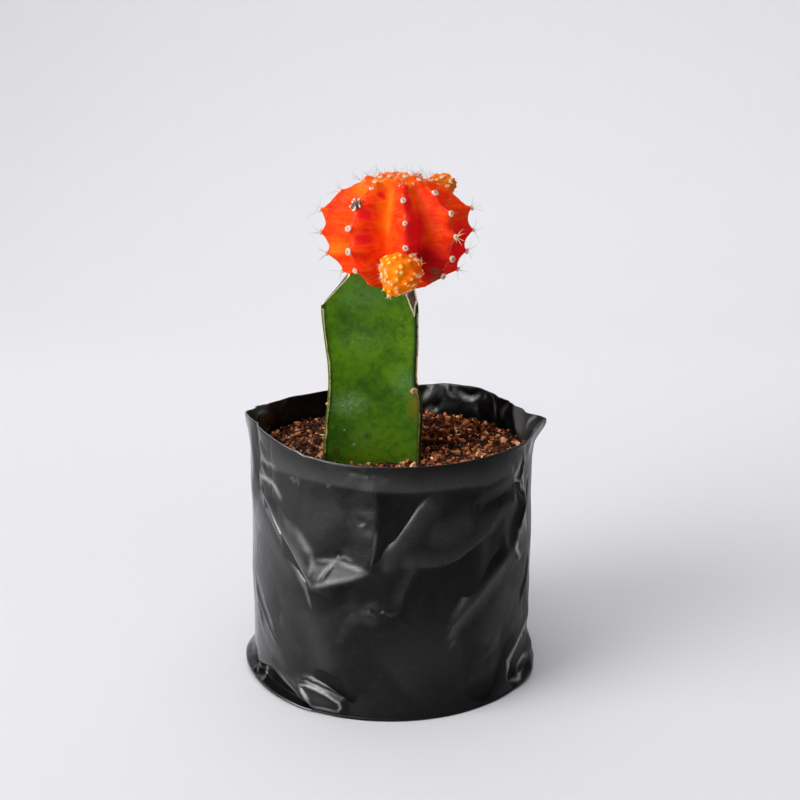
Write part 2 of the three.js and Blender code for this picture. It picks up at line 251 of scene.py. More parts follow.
class Surface:
    """A material while it is built."""

    def __init__(self, name, **constants):
        self.material = bpy.data.materials.new(name)
        self.material.use_nodes = True
        self.tree = self.material.node_tree
        self.shader = self.tree.nodes["Principled BSDF"]
        for socket, value in constants.items():
            self.shader.inputs[socket.replace("_", " ")].default_value = value

    def add(self, kind, settings=None, inputs=None, output=0):
        """Adds a node with its settings, feeds its sockets, and returns one of its outputs."""
        node = self.tree.nodes.new("ShaderNode" + kind)
        for key, value in (settings or {}).items():
            if key == "stops":
                ramp = node.color_ramp
                while len(ramp.elements) < len(value):
                    ramp.elements.new(1)
                for element, (position, colour) in zip(ramp.elements, value):
                    element.position = position
                    element.color = (*colour, 1)
            else:
                setattr(node, key, value)
        for socket, value in (inputs or {}).items():
            self.feed(node.inputs[socket], value)
        return Field(self, node.outputs[output])

    def feed(self, socket, value):
        if isinstance(value, Field):
            self.tree.links.new(value.socket, socket)
        elif socket.type == "RGBA" and len(value) == 3:
            socket.default_value = (*value, 1)
        else:
            socket.default_value = value

    def blend(self, share, start, end):
        """The colour start where share is 0 and the colour end where it is 1."""
        settings = {"data_type": "RGBA", "clamp_factor": True}
        return self.add("Mix", settings, {0: share, 6: start, 7: end}, output=2)

    def millimetres(self, stretch=(1, 1, 1)):
        """The place on the piece in millimetres, stretched along its axes."""
        place = self.add("TexCoord", output=3)
        scale = tuple(1000 * each for each in stretch)
        return self.add("VectorMath", {"operation": "MULTIPLY"}, {0: place, 1: scale})

    def value(self, name):
        """A number kept on the mesh."""
        return self.add("Attribute", {"attribute_name": name}, output=2)

    def noise(self, place, scale, detail=2.0, roughness=0.5):
        inputs = {"Vector": place, "Scale": scale, "Detail": detail, "Roughness": roughness}
        return self.add("TexNoise", inputs=inputs)

    def near(self, place, centre, reach):
        """1 at the centre of a round or oval patch, and 0 beyond its reach along each axis."""
        away = self.add("VectorMath", {"operation": "SUBTRACT"}, {0: place, 1: centre})
        share = self.add("VectorMath", {"operation": "DIVIDE"}, {0: away, 1: reach})
        length = self.add("VectorMath", {"operation": "LENGTH"}, {0: share}, output=1)
        return 1 - length.step(0.0, 1.0)

    def patches(self, place, spots):
        """Soft patches added up, each with its centre, its reach along each axis and its strength."""
        return sum(self.near(place, centre, reach) * strength for centre, reach, strength in spots)

    def along(self, place, axis):
        """One number of a place: axis 0 is its x, 1 its y and 2 its z."""
        return self.add("SeparateXYZ", inputs={0: place}, output=axis)

    def ramp(self, share, stops):
        """The colour at a share from 0 to 1, between stops of (share, colour)."""
        return self.add("ValToRGB", {"stops": stops}, {0: share})

    def bump(self, height, strength, depth_mm, under=None):
        """Relief of a height from 0 to 1, which stands depth_mm high."""
        inputs = {"Height": height, "Strength": strength, "Distance": depth_mm * MM}
        if under is not None:
            inputs["Normal"] = under
        return self.add("Bump", inputs=inputs)

    def finish(self, colour=None, roughness=None, normal=None):
        for socket, value in (("Base Color", colour), ("Roughness", roughness), ("Normal", normal)):
            if value is not None:
                self.feed(self.shader.inputs[socket], value)
        return self.material


# Film bag

BAG_HEIGHT = 87.0
WALL_RADIUS = 48.4
BASE_RADIUS = 50.4
RIM_RADIUS = 47.5
SOIL_LEVEL = 77.6
AROUND_MM = math.radians(1) * WALL_RADIUS  # length on the wall of one degree
FLOOR_LEVEL = 1.2  # height of the bottom of the mix, on the film

# Corners of the flat facets that the film has creased into at the front: lines of (angle, height, depth)
# points along the creases between them, and single points inside them. Depth is above 0 outwards.
FACET_LINES = [
    # corner groove and the long groove that runs down from it, with its left bank and its right band
    [(-70.4, 88.6, -0.6), (-67.1, 79.6, -1), (-66.8, 71, -1)],
    [(-66.8, 71, -1), (-61.5, 67.1, -1), (-54.9, 63.6, -1), (-48.2, 58.3, -0.9)],
    [(-48.2, 58.3, -0.9), (-42.5, 53.8, -0.7), (-37.3, 48.6, -0.2), (-33, 44.6, 0.4)],
    [(-65, 72, 0.1), (-60.1, 68.5, 0.4), (-53.6, 65, 0.7), (-46.9, 59.7, 1)],
    [(-46.9, 59.7, 1), (-41.2, 55.2, 1.3), (-36, 50, 1.7), (-32, 46.4, 2.2)],
    [(-70.4, 64.6, -0.3), (-62, 61.7, -0.4), (-53.8, 56.9, -0.3), (-46.6, 52.4, 0)],
    [(-46.6, 52.4, 0), (-41, 47.8, 0.4), (-37, 44.2, 0.8), (-33.6, 41.7, 1), (-31.8, 37.5, 0.9)],
    [(-57.8, 73, -0.5), (-50.5, 69.4, -0.6), (-43.6, 65.2, -0.5), (-35.4, 59.8, 0), (-30, 56, 0.5)],
    # bright ledge
    [(-33, 44.6, 0.4), (-30.7, 44.4, 2.0), (-27.6, 44.6, 2.3), (-22.4, 46.4, 2.7)],
    [(-22.4, 46.4, 2.7), (-17.5, 48.4, 2.8), (-12.7, 50.6, 2.7), (-8.1, 53.3, 2.6)],
    [(-27.6, 44.6, 2.3), (-25.7, 48.7, 1.4), (-23.5, 51.8, 0.7), (-21, 54.9, 0.1)],
    [(-30, 56, 0.5), (-28.7, 53.1, 0.4), (-25.6, 53.6, 0.2), (-21, 54.9, 0.1)],
    [(-21, 54.9, 0.1), (-17.4, 55.7, 0.5), (-13.4, 55, 1.3), (-8.1, 53.3, 2.6)],
    # upright ridge, the dark hollow on its right and the fold under the rim band
    [(-8.1, 53.3, 2.6), (-6.9, 57.5, 2.4), (-5.8, 62.2, 2.2), (-4.6, 68.3, 1.9)],
    [(-4.6, 68.3, 1.9), (-4.2, 74, 1.4), (-4.6, 80.3, 0.9)],
    [(-14.3, 78.5, 0.1), (-15.6, 71.8, -0.2), (-16.5, 64.9, -0.1), (-16.9, 59.5, 0), (-17.4, 55.7, 0.5)],
    [(-11, 66, 1), (-8.4, 67.5, 1), (-6.5, 69, 1.7)],
    [(-8.1, 53.3, 2.6), (-4.7, 56.5, 0), (-0.2, 61.7, -1.3), (5.4, 67.7, -1.5)],
    [(5.4, 67.7, -1.5), (10.6, 73.1, -1.3), (15.2, 76.8, -0.5)],
    [(-2.6, 55.8, -0.1), (1.9, 61.2, -0.5), (7.4, 67.3, -0.6), (12.6, 72.5, -0.5), (17, 76.6, -0.2)],
    [(3, 55.6, 0.2), (7, 60.2, 0), (12.4, 66.2, -0.1), (17.2, 71.2, -0.2), (21, 75.4, -0.1)],
    [(-19, 80.1, 0.3), (-11.3, 80.7, 0.5), (-4.6, 80.3, 0.9), (1.7, 79.4, 0.9), (8, 78.6, 0.8)],
    [(8, 78.6, 0.8), (13.6, 77.9, 0.5), (18.7, 78.8, 0.5), (23.5, 79.3, 0.6), (29.4, 78.8, 0.5)],
    [(29.4, 78.8, 0.5), (36.9, 77.4, 0.3)],
    [(-2.4, 78.4, 0.2), (2.8, 77.4, -0.6), (8, 76.6, -0.9), (11.8, 76, -1.2)],
    [(22.7, 77.4, -0.3), (27.7, 77.1, -0.6), (34, 76.1, -0.5), (37.9, 75.4, 0)],
    # lower edge of the wide petal, and its upper right corner
    [(3.5, 53.8, 0.8), (10.3, 54.9, 1.4), (16.5, 53.7, 2), (21.3, 53.8, 2.3), (25.9, 55.2, 2.5)],
    [(25.9, 55.2, 2.5), (30.3, 57.6, 2.5), (34.9, 59.6, 2.2), (39.3, 62.1, 1.6), (41.8, 65, 1)],
    [(14.6, 50.9, -0.5), (18.9, 50.7, -0.6), (24.3, 52.1, -0.9), (29.4, 54, -1.1)],
    [(29.4, 54, -1.1), (34.9, 56.1, -1), (40.4, 58.4, -0.6), (44.7, 61.6, -0.2)],
    [(37.6, 69.3, -0.6), (41.1, 70.7, -1), (46.7, 71.5, -1.2), (53.9, 71.9, -1.3), (59.5, 71.5, -1)],
    [(36.1, 67.5, 0.4), (41.2, 68.9, 0.6), (48.6, 69.4, 0.7), (57.2, 68.6, 0.6)],
    # crumple under the ledge
    [(2.8, 40, 1.2), (5, 45.2, 1.5), (7.7, 50.6, 1.5), (10.3, 54.9, 1.4)],
    [(5.1, 40.3, -0.6), (7.7, 45.1, -1), (10.7, 50.1, -0.9), (14.6, 50.9, -0.5)],
    [(-8.1, 53.3, 2.6), (-4, 51.1, 1.8), (-0.6, 48.4, 1.5), (1.7, 45.3, 1.3), (2.8, 40, 1.2)],
    [(-22.9, 41.5, 0), (-21.7, 37.8, -0.6), (-18.8, 35.4, -0.5), (-15.2, 37.2, -0.4)],
    [(-15.2, 37.2, -0.4), (-12, 39.8, -0.2), (-8.6, 41.4, 0.1)],
    [(-13.3, 33.2, 0.4), (-10.3, 36.3, 0.6), (-7.8, 38.4, 0.8), (-4.8, 38, 1)],
    [(-4.8, 39, 1.2), (-1.7, 37.3, 1.4), (0.9, 37.6, 1.2), (2.8, 40, 1.2)],
    [(-11.7, 31, 0.5), (-7.1, 31.3, 0.6), (-1.8, 32.8, 0.6), (2.8, 35.2, 0.5)],
    # soft upright fold and the long ridge at the lower right
    [(-23.9, 33.6, 0), (-21.2, 25.5, 0.5), (-18.4, 17.7, 0.8), (-14.9, 10.2, 0.6)],
    [(21.8, 25.7, 0.2), (23.7, 30.1, 0.9), (27.5, 35.8, 1.6), (31.9, 40.6, 2.1), (36.7, 44.9, 2.2)],
    [(36.7, 44.9, 2.2), (43.4, 48.6, 1.9), (51.3, 51.2, 1.3), (57, 52.9, 0.9)],
    [(20.4, 29.2, 0), (23.2, 35.1, -0.6), (27.4, 40.4, -1.1), (32.3, 45.1, -1.2)],
    [(32.3, 45.1, -1.2), (38.6, 49.4, -1), (45.6, 53, -0.6)],
    [(23, 23, 0.2), (25.9, 27.6, 0.7), (30.3, 32.5, 0.9)],
    [(47.8, 15.6, -0.6), (43.8, 9.8, -1.2), (39.6, 3.3, -1)],
    [(50.4, 13.8, 0.3), (47.5, 8, 0.4), (43, 1.6, 0.4)],
    # left flank
    [(-64.7, 30.1, 0.9), (-59.7, 27.4, 1.1), (-54.9, 23.1, 1.1), (-49.7, 18.7, 0.9)],
    [(-49.7, 18.7, 0.9), (-43.8, 12.1, 0.5), (-39.5, 8.9, 0.1)],
    # flap at the foot
    [(-37.4, 8, 0.6), (-34.4, 9.5, 0.8), (-30.6, 9.7, 1), (-26.1, 8.8, 1), (-21.9, 7.4, 0.9)],
    [(-21.9, 7.4, 0.9), (-18.6, 5.7, 0.8), (-18.6, 4.2, 0.8), (-20.7, 2.5, 0.9)],
    [(-20.7, 2.5, 0.9), (-24.9, 2.5, 0.9), (-30.3, 2.5, 0.9), (-34, 5.2, 0.8), (-37.4, 8, 0.6)],
    [(-36.9, 11.4, -0.3), (-31.9, 12.3, -0.4), (-25.6, 11.4, -0.4), (-20.6, 9.8, -0.4)],
    [(-20.6, 9.8, -0.6), (-16.1, 7.5, -0.3)],
    # right flank and the ear at its foot
    [(66, 65.9, 1.4), (61.1, 60.9, 1.4), (57.9, 54.7, 1.3), (58.5, 50.7, 1), (62, 47, 0.6)],
    [(59.9, 65.8, -0.2), (56, 60.9, -0.3), (54.2, 55.8, -0.2)],
    [(65.5, 39.3, 0.8), (62.9, 33.6, 0.5)],
    [(73.9, 21, 1), (59.6, 16.2, 1.3), (53.4, 11.8, 1.3), (50.8, 6.1, 1)],
    [(75, 17.6, -1), (63.5, 13.6, -1.2), (57, 10.4, -1.3), (53.6, 6.4, -1)],
    [(57.5, 2.2, 1.2), (64, 1.8, 1.6), (70, 3, 1.8), (72, 6, 2)],
    [(57, 5, 1.2), (60, 7.6, 1.2), (66, 8.2, 1.5), (72, 6, 2)],
]
FACET_POINTS = [
    (-36.6, 74.9, -0.5), (-32.8, 67.1, -0.6), (-25.2, 74.7, -0.5), (-24.4, 66.3, -0.2), (-21.3, 60, 0.1),
    (-27.9, 61.5, 0.1), (-44.7, 74.6, -0.7), (-17, 85.6, 0.1), (-36.3, 83.1, 0),
    (20.9, 60, 1), (27, 66, 0.6), (26.8, 73.1, -0.2), (31.4, 71.1, 0), (33.4, 63.3, 1.2),
    (1.7, 71.4, -0.4), (-0.9, 67.1, -0.2), (4.3, 74, -1),
    (19, 44.8, -0.3), (15.1, 40, 0.2), (23.9, 47.6, -0.4), (17.1, 32.8, 0.3), (9.3, 31.8, 0.5),
    (3.5, 25.3, 0.4), (15, 17.4, 0.4), (3.5, 11, 0.2), (-5.9, 21.6, 0.3), (-7.9, 10.8, 0.2),
    (25.4, 8.6, 0.2), (31.9, 16.3, 0.4), (-11.6, 45.5, 0.4), (-17.5, 44.3, -0.5), (-5.9, 47.6, 0.9),
    (-4, 43.1, 0.8), (-15.6, 41.7, -0.9), (-25.9, 41.7, 0), (-29.1, 34.5, 0.4),
    (-37.9, 29, 0), (-35.1, 19.2, 0), (-28.1, 18.9, 0.2), (-46.1, 35.9, 0.3), (-46.4, 26.8, -0.3),
    (-52.2, 44.9, 0.3), (-59.2, 48.2, 0), (-50.5, 38.2, 0.3), (-58, 39.6, 0.5), (42, 40.5, 1.2),
    (37, 31, 0.8), (48.3, 28, 1), (54.8, 36.9, 0.9), (41.9, 19.2, 0.6), (56.1, 43.8, 0.7),
    (56.2, 20.9, 0.7), (50.2, 65.1, 0.3), (50, 58.6, 0), (46.6, 76, 0.1), (31.2, 82.3, 0),
    (18.6, 82.8, 0.1), (3.5, 83.7, 0.1), (-7.5, 84.2, 0.1), (62, 4.8, -0.6), (66, 5, -0.4),
    (60, 79, 0.2), (67, 74, -0.8), (70, 66, -1), (71, 56, -0.4), (70, 48, 0.8), (72, 40, 0.4),
    (71, 30, 0.9), (77, 10, 2), (80, 5, 1.6), (68, 23.5, 0.4), (-70, 48, 0.2), (-72, 38, 0.9),
    (-68, 24, 0.7), (-60, 16, 0.4), (-52, 12, 0.2), (-72, 12, 0.6), (-70, 76, 0.4), (-74, 84, 0.4),
    (-74, 68, 0.5), (-76, 56, -0.3), (-60, 84, 0.1), (-50, 84, 0), (-50, 77, -0.1), (-60, 76, -0.3),
]
# The folds behind, each a line from one (angle, height) to another, with its rise and its half width
FOLDS = [
    ((-98, 66), (-88, 48), 1.0, 8),
    ((112, 76), (150, 44), -1.9, 8),
    ((150, 44), (176, 58), 2.0, 8),
    ((150, 44), (122, 14), 1.5, 8),
    ((196, 78), (180, 30), -1.6, 8),
    ((206, 62), (240, 36), 2.0, 8),
    ((240, 36), (216, 10), -1.5, 8),
    ((250, 76), (236, 50), -1.4, 7),
]

# Narrow creases: lines of (angle, height) points drawn upwards or to the right, with their rise and their
# widths to the left and to the right of the line. A crease that rises is a ridge.
CREASES = [
    # upper left corner and the long groove
    ([(-67, 68), (-67.3, 80), (-70, 89)], -0.7, 0.9, 1.2),
    ([(-33, 44.6), (-37.3, 48.6), (-42.5, 53.8), (-48.2, 58.3), (-54.9, 63.6), (-66, 70.5)], -1.6, 0.6, 0.7),
    ([(-67, 82.5), (-63, 83.5), (-58, 81.5), (-55, 79.5)], 0.7, 0.9, 1.2),
    ([(-66, 79), (-62, 79.8), (-57.5, 77.6), (-55, 74.5)], 0.8, 1.0, 1.8),
    ([(-66, 75.5), (-63.5, 75.5), (-60, 73.3), (-58, 71)], 0.6, 0.9, 1.4),
    ([(-63.5, 72.5), (-61.5, 71.5), (-60.5, 69.5)], 0.5, 0.7, 0.9),
    ([(-55, 69), (-54, 76), (-54.5, 86)], -0.4, 1.4, 0.7),
    ([(-42.5, 79.6), (-41.2, 79), (-39.8, 77.6)], -0.5, 0.7, 0.9),
    ([(-39, 79.6), (-38, 78.6), (-37.6, 77.2)], 0.5, 0.8, 0.6),
    ([(-25.6, 80.2), (-23.6, 79.2)], -0.4, 0.7, 0.9),
    ([(-31.6, 76), (-31, 78.6)], 0.25, 0.8, 0.8),
    # bright ledge
    ([(-32, 46.5), (-31, 50), (-31.4, 54)], 0.4, 1.4, 1.2),
    ([(-27.6, 44.6), (-25.7, 48.7), (-23.5, 51.8), (-21, 54.9)], 0.5, 1.0, 1.4),
    ([(-21, 54.9), (-17.4, 55.7), (-13.4, 55)], 0.35, 1.0, 0.8),
    ([(-8.1, 53.3), (-6.9, 57.5), (-5.8, 62.2)], 0.35, 1.2, 0.8),
    ([(-19.5, 56.2), (-20.5, 57.6)], -0.5, 1.2, 1.2),
    ([(-11.5, 66.5), (-8.6, 68.4)], 0.4, 1.0, 1.6),
    ([(-8, 54), (-4.7, 56.5), (-0.2, 61.7), (5.4, 67.7), (10.6, 73.1), (15.2, 76.8)], -0.5, 0.9, 0.7),
    ([(-5, 82), (4, 82.6), (12, 82)], 0.3, 2, 2),
    ([(-17, 85.4), (-10, 84.4), (-4, 84.8)], -0.35, 0.9, 1.0),
    ([(-11, 86), (-8.6, 84.4), (-7.4, 83)], 0.3, 0.8, 0.8),
    # petal
    ([(19, 52.5), (21, 53.2)], 0.5, 1.0, 1.0),
    ([(38, 69.6), (41.5, 71.2), (46.7, 72.1), (53.9, 72.5)], -0.35, 0.8, 0.8),
    ([(56.5, 72.5), (59, 73.6), (61, 72.6)], -0.5, 0.9, 0.9),
    # crumple
    ([(3.4, 40), (5.6, 45.2), (8.2, 50.4), (10.8, 54)], -0.7, 0.4, 0.9),
    ([(-8, 38.6), (-5.6, 37.6), (-4, 36.4)], -0.6, 0.8, 0.8),
    ([(-5.6, 38.8), (-4, 37.4), (-2.4, 38.4), (-0.6, 37), (1.2, 38.2)], 0.6, 0.9, 0.9),
    ([(-3, 36.8), (-1, 35.6), (1.4, 36.4)], 0.5, 0.9, 0.9),
    ([(-7.6, 38.8), (-8.2, 36.8)], 0.3, 0.8, 0.8),
    # right flank
    ([(57.9, 50.5), (57.8, 54.7), (61, 60.9), (66, 65.9)], 0.7, 0.8, 1.0),
    ([(57.8, 50.7), (59.4, 47.4), (62.4, 47)], 0.6, 0.9, 0.8),
    ([(63, 72), (64, 76), (65.5, 83)], 0.9, 1.2, 1.4),
    ([(66, 66), (63, 71), (60, 75.5), (56, 81)], -0.9, 2, 1.2),
    ([(64, 29), (65, 34), (69, 38), (72, 46)], 0.7, 1.6, 1.6),
    ([(70, 58), (73, 64), (75, 72)], -0.7, 1.6, 1.6),
    ([(50.8, 5.5), (53.4, 11.8), (59.6, 16.2), (73.9, 21)], 0.5, 1.0, 0.7),
    ([(53.4, 5.4), (56.8, 10.6), (63.3, 13.8), (75, 17.8)], -0.5, 0.7, 0.8),
    # left flank
    ([(-50, 18.7), (-55, 23.1), (-59.7, 27.4), (-64.7, 30.1), (-70, 36)], 0.5, 1.4, 1.2),
    ([(-62, 20), (-64, 26), (-69, 32)], 0.5, 1.4, 1.6),
    ([(-80, 20), (-78, 34), (-82, 48)], -0.7, 4, 4),
    # rim of the flap
    ([(-38, 7.8), (-34.4, 8.7), (-29.7, 8.4), (-24.3, 7.3), (-19.7, 5.5), (-18.9, 3.9)], 0.45, 0.5, 0.7),
    ([(-38.6, 9.4), (-34.4, 10), (-29.4, 9.8), (-23.5, 8.6), (-18, 6.4)], -0.5, 0.9, 0.9),
    ([(-31.4, 2.6), (-35, 5.4), (-38, 7.6)], 0.6, 0.6, 0.7),
    # back of the bag
    ([(112, 77), (124, 66), (138, 54), (150, 44)], -0.7, 1.2, 1.4),
    ([(150, 44), (160, 50), (170, 56), (177, 64)], 0.7, 2, 1.4),
    ([(122, 14), (134, 26), (144, 36), (150, 44)], 0.7, 1.5, 2),
    ([(176, 20), (182, 34), (186, 50), (194, 66), (197, 78)], -0.8, 1.2, 1.8),
    ([(206, 62), (214, 54), (226, 46), (240, 36)], 0.7, 1.6, 1.8),
    ([(214, 8), (224, 18), (234, 28), (240, 36)], -0.7, 1.4, 1.4),
    ([(236, 48), (244, 60), (250, 74)], -0.7, 1.2, 1.6),
    ([(100, 70), (108, 62), (112, 52), (109, 44)], 0.8, 1.4, 1.8),
    ([(160, 30), (170, 38), (176, 48), (186, 50)], 0.8, 1.4, 1.8),
    ([(140, 20), (150, 12), (164, 9)], -0.7, 1.2, 1.8),
    ([(206, 72), (218, 68), (230, 71)], 0.6, 1.2, 1.6),
    ([(-98, 58), (-108, 48), (-112, 36), (-106, 26)], 0.8, 1.6, 1.6),
    # inside of the mouth, at the back and in its corners
    ([(149, 86.8), (146, 84.6), (142.5, 84.2), (138.5, 86.6)], 1.2, 1.6, 1.4),
    ([(155, 87), (153, 84), (149, 83)], -0.9, 1.6, 1.6),
    ([(167, 79), (163, 78), (159.5, 79), (157, 82)], 1.1, 1.8, 1.6),
    ([(165, 80), (162, 84), (160, 88)], -1.2, 2.4, 2.4),
    ([(128, 77), (129.5, 82), (130, 88)], 1.2, 1.6, 2.2),
    ([(121.5, 77), (123.5, 82), (125, 88)], -1.2, 1.8, 1.8),
    ([(116, 76.5), (118, 82), (119.5, 88.5)], 1.3, 1.8, 2.4),
    ([(107, 77), (111, 82), (114, 89)], -1.1, 3, 2.2),
    ([(134, 78), (135, 82), (134, 87)], -0.8, 2, 2),
    ([(172, 78), (174, 83), (172, 87)], 0.8, 2, 2),
    ([(188, 78), (186, 83), (188, 87)], -0.8, 2.4, 2),
    ([(-107, 78), (-106, 84), (-107, 90)], 1.2, 2, 2.4),
    ([(-115, 78), (-112, 84), (-114, 89)], -1.0, 2.2, 2),
    ([(-99, 80), (-96, 86), (-97, 92)], -0.9, 2, 2),
    ([(-124, 78), (-127, 82), (-130, 87)], 0.9, 2, 2.4),
    ([(-102, 87), (-106, 85.5), (-111, 86.5)], 0.8, 1.2, 1.2),
]
# Painted sheen and highlights: lines of paler colour along the film's creases, and wide faint patches, each
# with (angle, height) points, strength and half width. A line with two half widths is drawn upwards or to the
# right, and has them on its left and on its right.
PAINTED_SHEEN_LINES = [
    # upper left corner, the long groove and the nicks under the rim
    ([(-66, 81.4), (-57, 81.5), (-50.4, 80.6)], 0.45, 0.7),
    ([(-65, 75.2), (-56.5, 75.4), (-52.1, 74.1), (-48.9, 71)], 0.75, 0.8),
    ([(-65.8, 67.2), (-56.5, 61.9), (-48.3, 55.8), (-41.4, 50.2), (-37.4, 46.6)], 0.3, 0.4),
    ([(-60, 66.4), (-53, 62.6), (-45, 57.4), (-39, 53), (-34.5, 48.6)], 0.3, 1.9),
    ([(-38.9, 47.3), (-34, 42.9), (-31.8, 36.8)], 0.35, 0.45),
    ([(-42.4, 79.4), (-40.4, 78.2)], 0.5, 0.4),
    ([(-39, 79.4), (-37.8, 77.8)], 0.5, 0.4),
    ([(-25.6, 80.2), (-23.6, 79.4)], 0.4, 0.4),
    # bright ledge and the ridge above it
    ([(-39, 62), (-35, 58.6), (-31.4, 55)], 0.3, 1.1),
    ([(-31.4, 55), (-30.5, 52.1), (-31.5, 48.8)], 0.4, 0.9),
    ([(-20.6, 54.3), (-24.4, 51.7), (-27.9, 47.7)], 0.45, 0.6),
    ([(-28.7, 53.8), (-20.2, 54.7), (-14.6, 53.9), (-8.5, 52.6)], 0.5, 0.6),
    ([(-8.5, 52.6), (-14.7, 50.1), (-22.4, 47.8), (-30.2, 44.8)], 0.45, 0.8),
    ([(-37.2, 51.4), (-34.4, 47.9), (-30.2, 44.8)], 0.4, 0.8),
    ([(-5.2, 66), (-6, 60), (-7.2, 54)], 0.25, 0.45),
    ([(-12, 65), (-8.4, 67.5)], 0.1, 2.2),
    # left flank and the rim of the flap
    ([(-68.9, 39.7), (-63.2, 34.3), (-57.8, 28.7), (-53.3, 23.6)], 0.4, 0.45),
    ([(-69.7, 57.6), (-64.7, 54.8)], 0.3, 0.6),
    ([(-49.1, 9.1), (-44.2, 6.9), (-39.7, 4.7), (-35.6, 2.5)], 0.3, 0.5),
    ([(-38, 7.8), (-34.4, 8.7), (-29.7, 8.4), (-24.3, 7.3), (-19.7, 5.5), (-18.9, 3.9),
      (-20.1, 2.5)], 0.8, 0.3),
    ([(-20.1, 2.5), (-25.3, 2.7), (-30.8, 2.3)], 0.5, 0.3),
    ([(-31.4, 2.6), (-35, 5.4), (-38, 7.6)], 0.7, 0.3),
    # crumple
    ([(-10.5, 37.6), (-7.8, 37.8), (-5.5, 36.5)], 0.12, 0.7),
    ([(-2.9, 39), (0.1, 37.6), (2.8, 38.3)], 0.12, 0.4),
    ([(3.4, 40), (5.6, 45.2), (8.2, 50.4), (10.8, 54)], 0.06, 2.6, 0.25),
    ([(-9.4, 35.4), (-6.6, 35.2)], 0.11, 1.8),
    # right flank, the ear at its foot and the ridge at the lower right
    ([(72, 64.8), (65.2, 61.5), (59.5, 57.1), (57.3, 51.3), (61, 47.3)], 1, 0.6),
    ([(63.7, 81.2), (60, 78), (60.2, 74.5), (66.9, 69.1)], 0.85, 0.6),
    ([(69.9, 80.7), (67.6, 76), (66.9, 69.1), (68, 63.6)], 0.85, 0.6),
    ([(71.8, 64.2), (71.4, 53.5)], 0.6, 0.8),
    ([(71.9, 20.8), (60.1, 16.9), (52.3, 12.1), (51.8, 6.7), (55, 4)], 0.7, 0.5),
    ([(55, 4), (60, 3.4), (66, 6)], 0.6, 0.6),
    ([(60, 8), (64, 9.4), (69, 8.6)], 0.5, 0.8),
    ([(22.1, 26.5), (24.1, 30.8), (28.8, 35.6), (34.3, 39.8), (40.8, 44), (50, 49)], 0.13, 0.5, 2.8),
    ([(23, 24), (25.5, 26.6)], 0.2, 0.8),
    # wide faint sheens: the band under the rim, the wide petal and the flatter film round them
    ([(-64, 81), (-19, 80.1), (8, 78.8), (29.4, 78.8), (40, 77.6), (64, 79)], 0.092, 4.6, 0.6),
    ([(-7, 54.6), (-1.6, 60), (5.4, 67.4), (10.6, 72.8), (15.6, 77)], 0.07, 0.35, 6),
    ([(3.5, 53.8), (16.5, 53.8), (25.9, 55.4), (34.9, 59.8), (41.8, 65.4)], 0.058, 5, 0.4),
    ([(14, 65), (22, 63), (34, 67)], 0.052, 5.5),
    ([(-38, 72), (-28, 70), (-18, 73)], 0.035, 6),
    ([(-66, 60), (-58, 57), (-48, 50), (-40, 45)], 0.05, 3.2),
    ([(-36, 36), (-30, 26), (-26, 14)], 0.055, 5),
    ([(0, 14), (12, 22), (30, 24)], 0.035, 13),
    ([(26, 31), (32, 37), (40, 41.5), (48, 45)], 0.07, 3.4),
    ([(40, 20), (46, 32), (54, 40)], 0.06, 6),
    # back of the bag
    ([(112, 77), (124, 66), (138, 54), (150, 44)], 0.08, 0.9),
    ([(122, 14), (134, 26), (144, 36), (150, 44)], 0.10, 1.1),
    ([(206, 62), (214, 54), (226, 46)], 0.10, 1.1),
    ([(236, 48), (244, 60), (250, 74)], 0.08, 0.9),
    ([(100, 70), (108, 62), (112, 52), (109, 44)], 0.08, 0.9),
    ([(126, 74), (136, 70), (148, 71)], 0.07, 1.1),
    ([(160, 30), (170, 38), (176, 48), (186, 50)], 0.08, 0.9),
    ([(186, 50), (196, 46), (204, 38)], 0.06, 1.6),
    ([(140, 20), (150, 12), (164, 9)], 0.06, 1.1),
    ([(206, 72), (218, 68), (230, 71)], 0.08, 0.9),
    ([(-98, 58), (-108, 48), (-112, 36), (-106, 26)], 0.08, 0.9),
    # inside of the mouth, at the back and in its corners
    ([(148.3, 86), (145.7, 84.4), (141.9, 84.1), (138, 86.3)], 0.95, 0.6),
    ([(153.8, 85.7), (151.3, 84.4), (149.3, 84.3)], 0.45, 0.7),
    ([(164.8, 82.5), (162, 85), (159.2, 87.1)], 0.4, 1.4),
    ([(163.9, 77.9), (162, 79.2)], 0.9, 0.8),
    ([(160.1, 78.9), (159.1, 78.2)], 0.6, 0.6),
    ([(130.3, 88.3), (127.5, 84.7), (128.1, 80.4)], 0.5, 0.6),
    ([(118.9, 86.8), (121.9, 83.9), (122.5, 81.5)], 0.4, 0.6),
    ([(113.8, 86.4), (110.8, 83.4), (108.4, 80.3)], 0.45, 0.8),
    ([(108, 77), (110, 82), (113.4, 89)], 0.42, 9, 0.5),
    ([(101, 81), (99, 85), (96, 88.5)], 0.75, 0.6),
    ([(73, 80), (80, 84), (89, 88)], 0.6, 0.5, 2.6),
    ([(-97.2, 91), (-108, 89.6)], 0.55, 0.9),
    ([(-103.1, 88.1), (-111.9, 87.6)], 0.5, 0.8),
    ([(-100, 86.3), (-107.8, 86), (-112.7, 85.5)], 0.45, 0.8),
    ([(-94, 89.5), (-103, 87.6), (-112, 86)], 0.15, 2.8),
    ([(-126, 86.5), (-127.3, 85.1)], 0.35, 0.9),
]
RELIEF_STEP = 0.25  # degrees, and mm of height, between the places where the relief is worked out


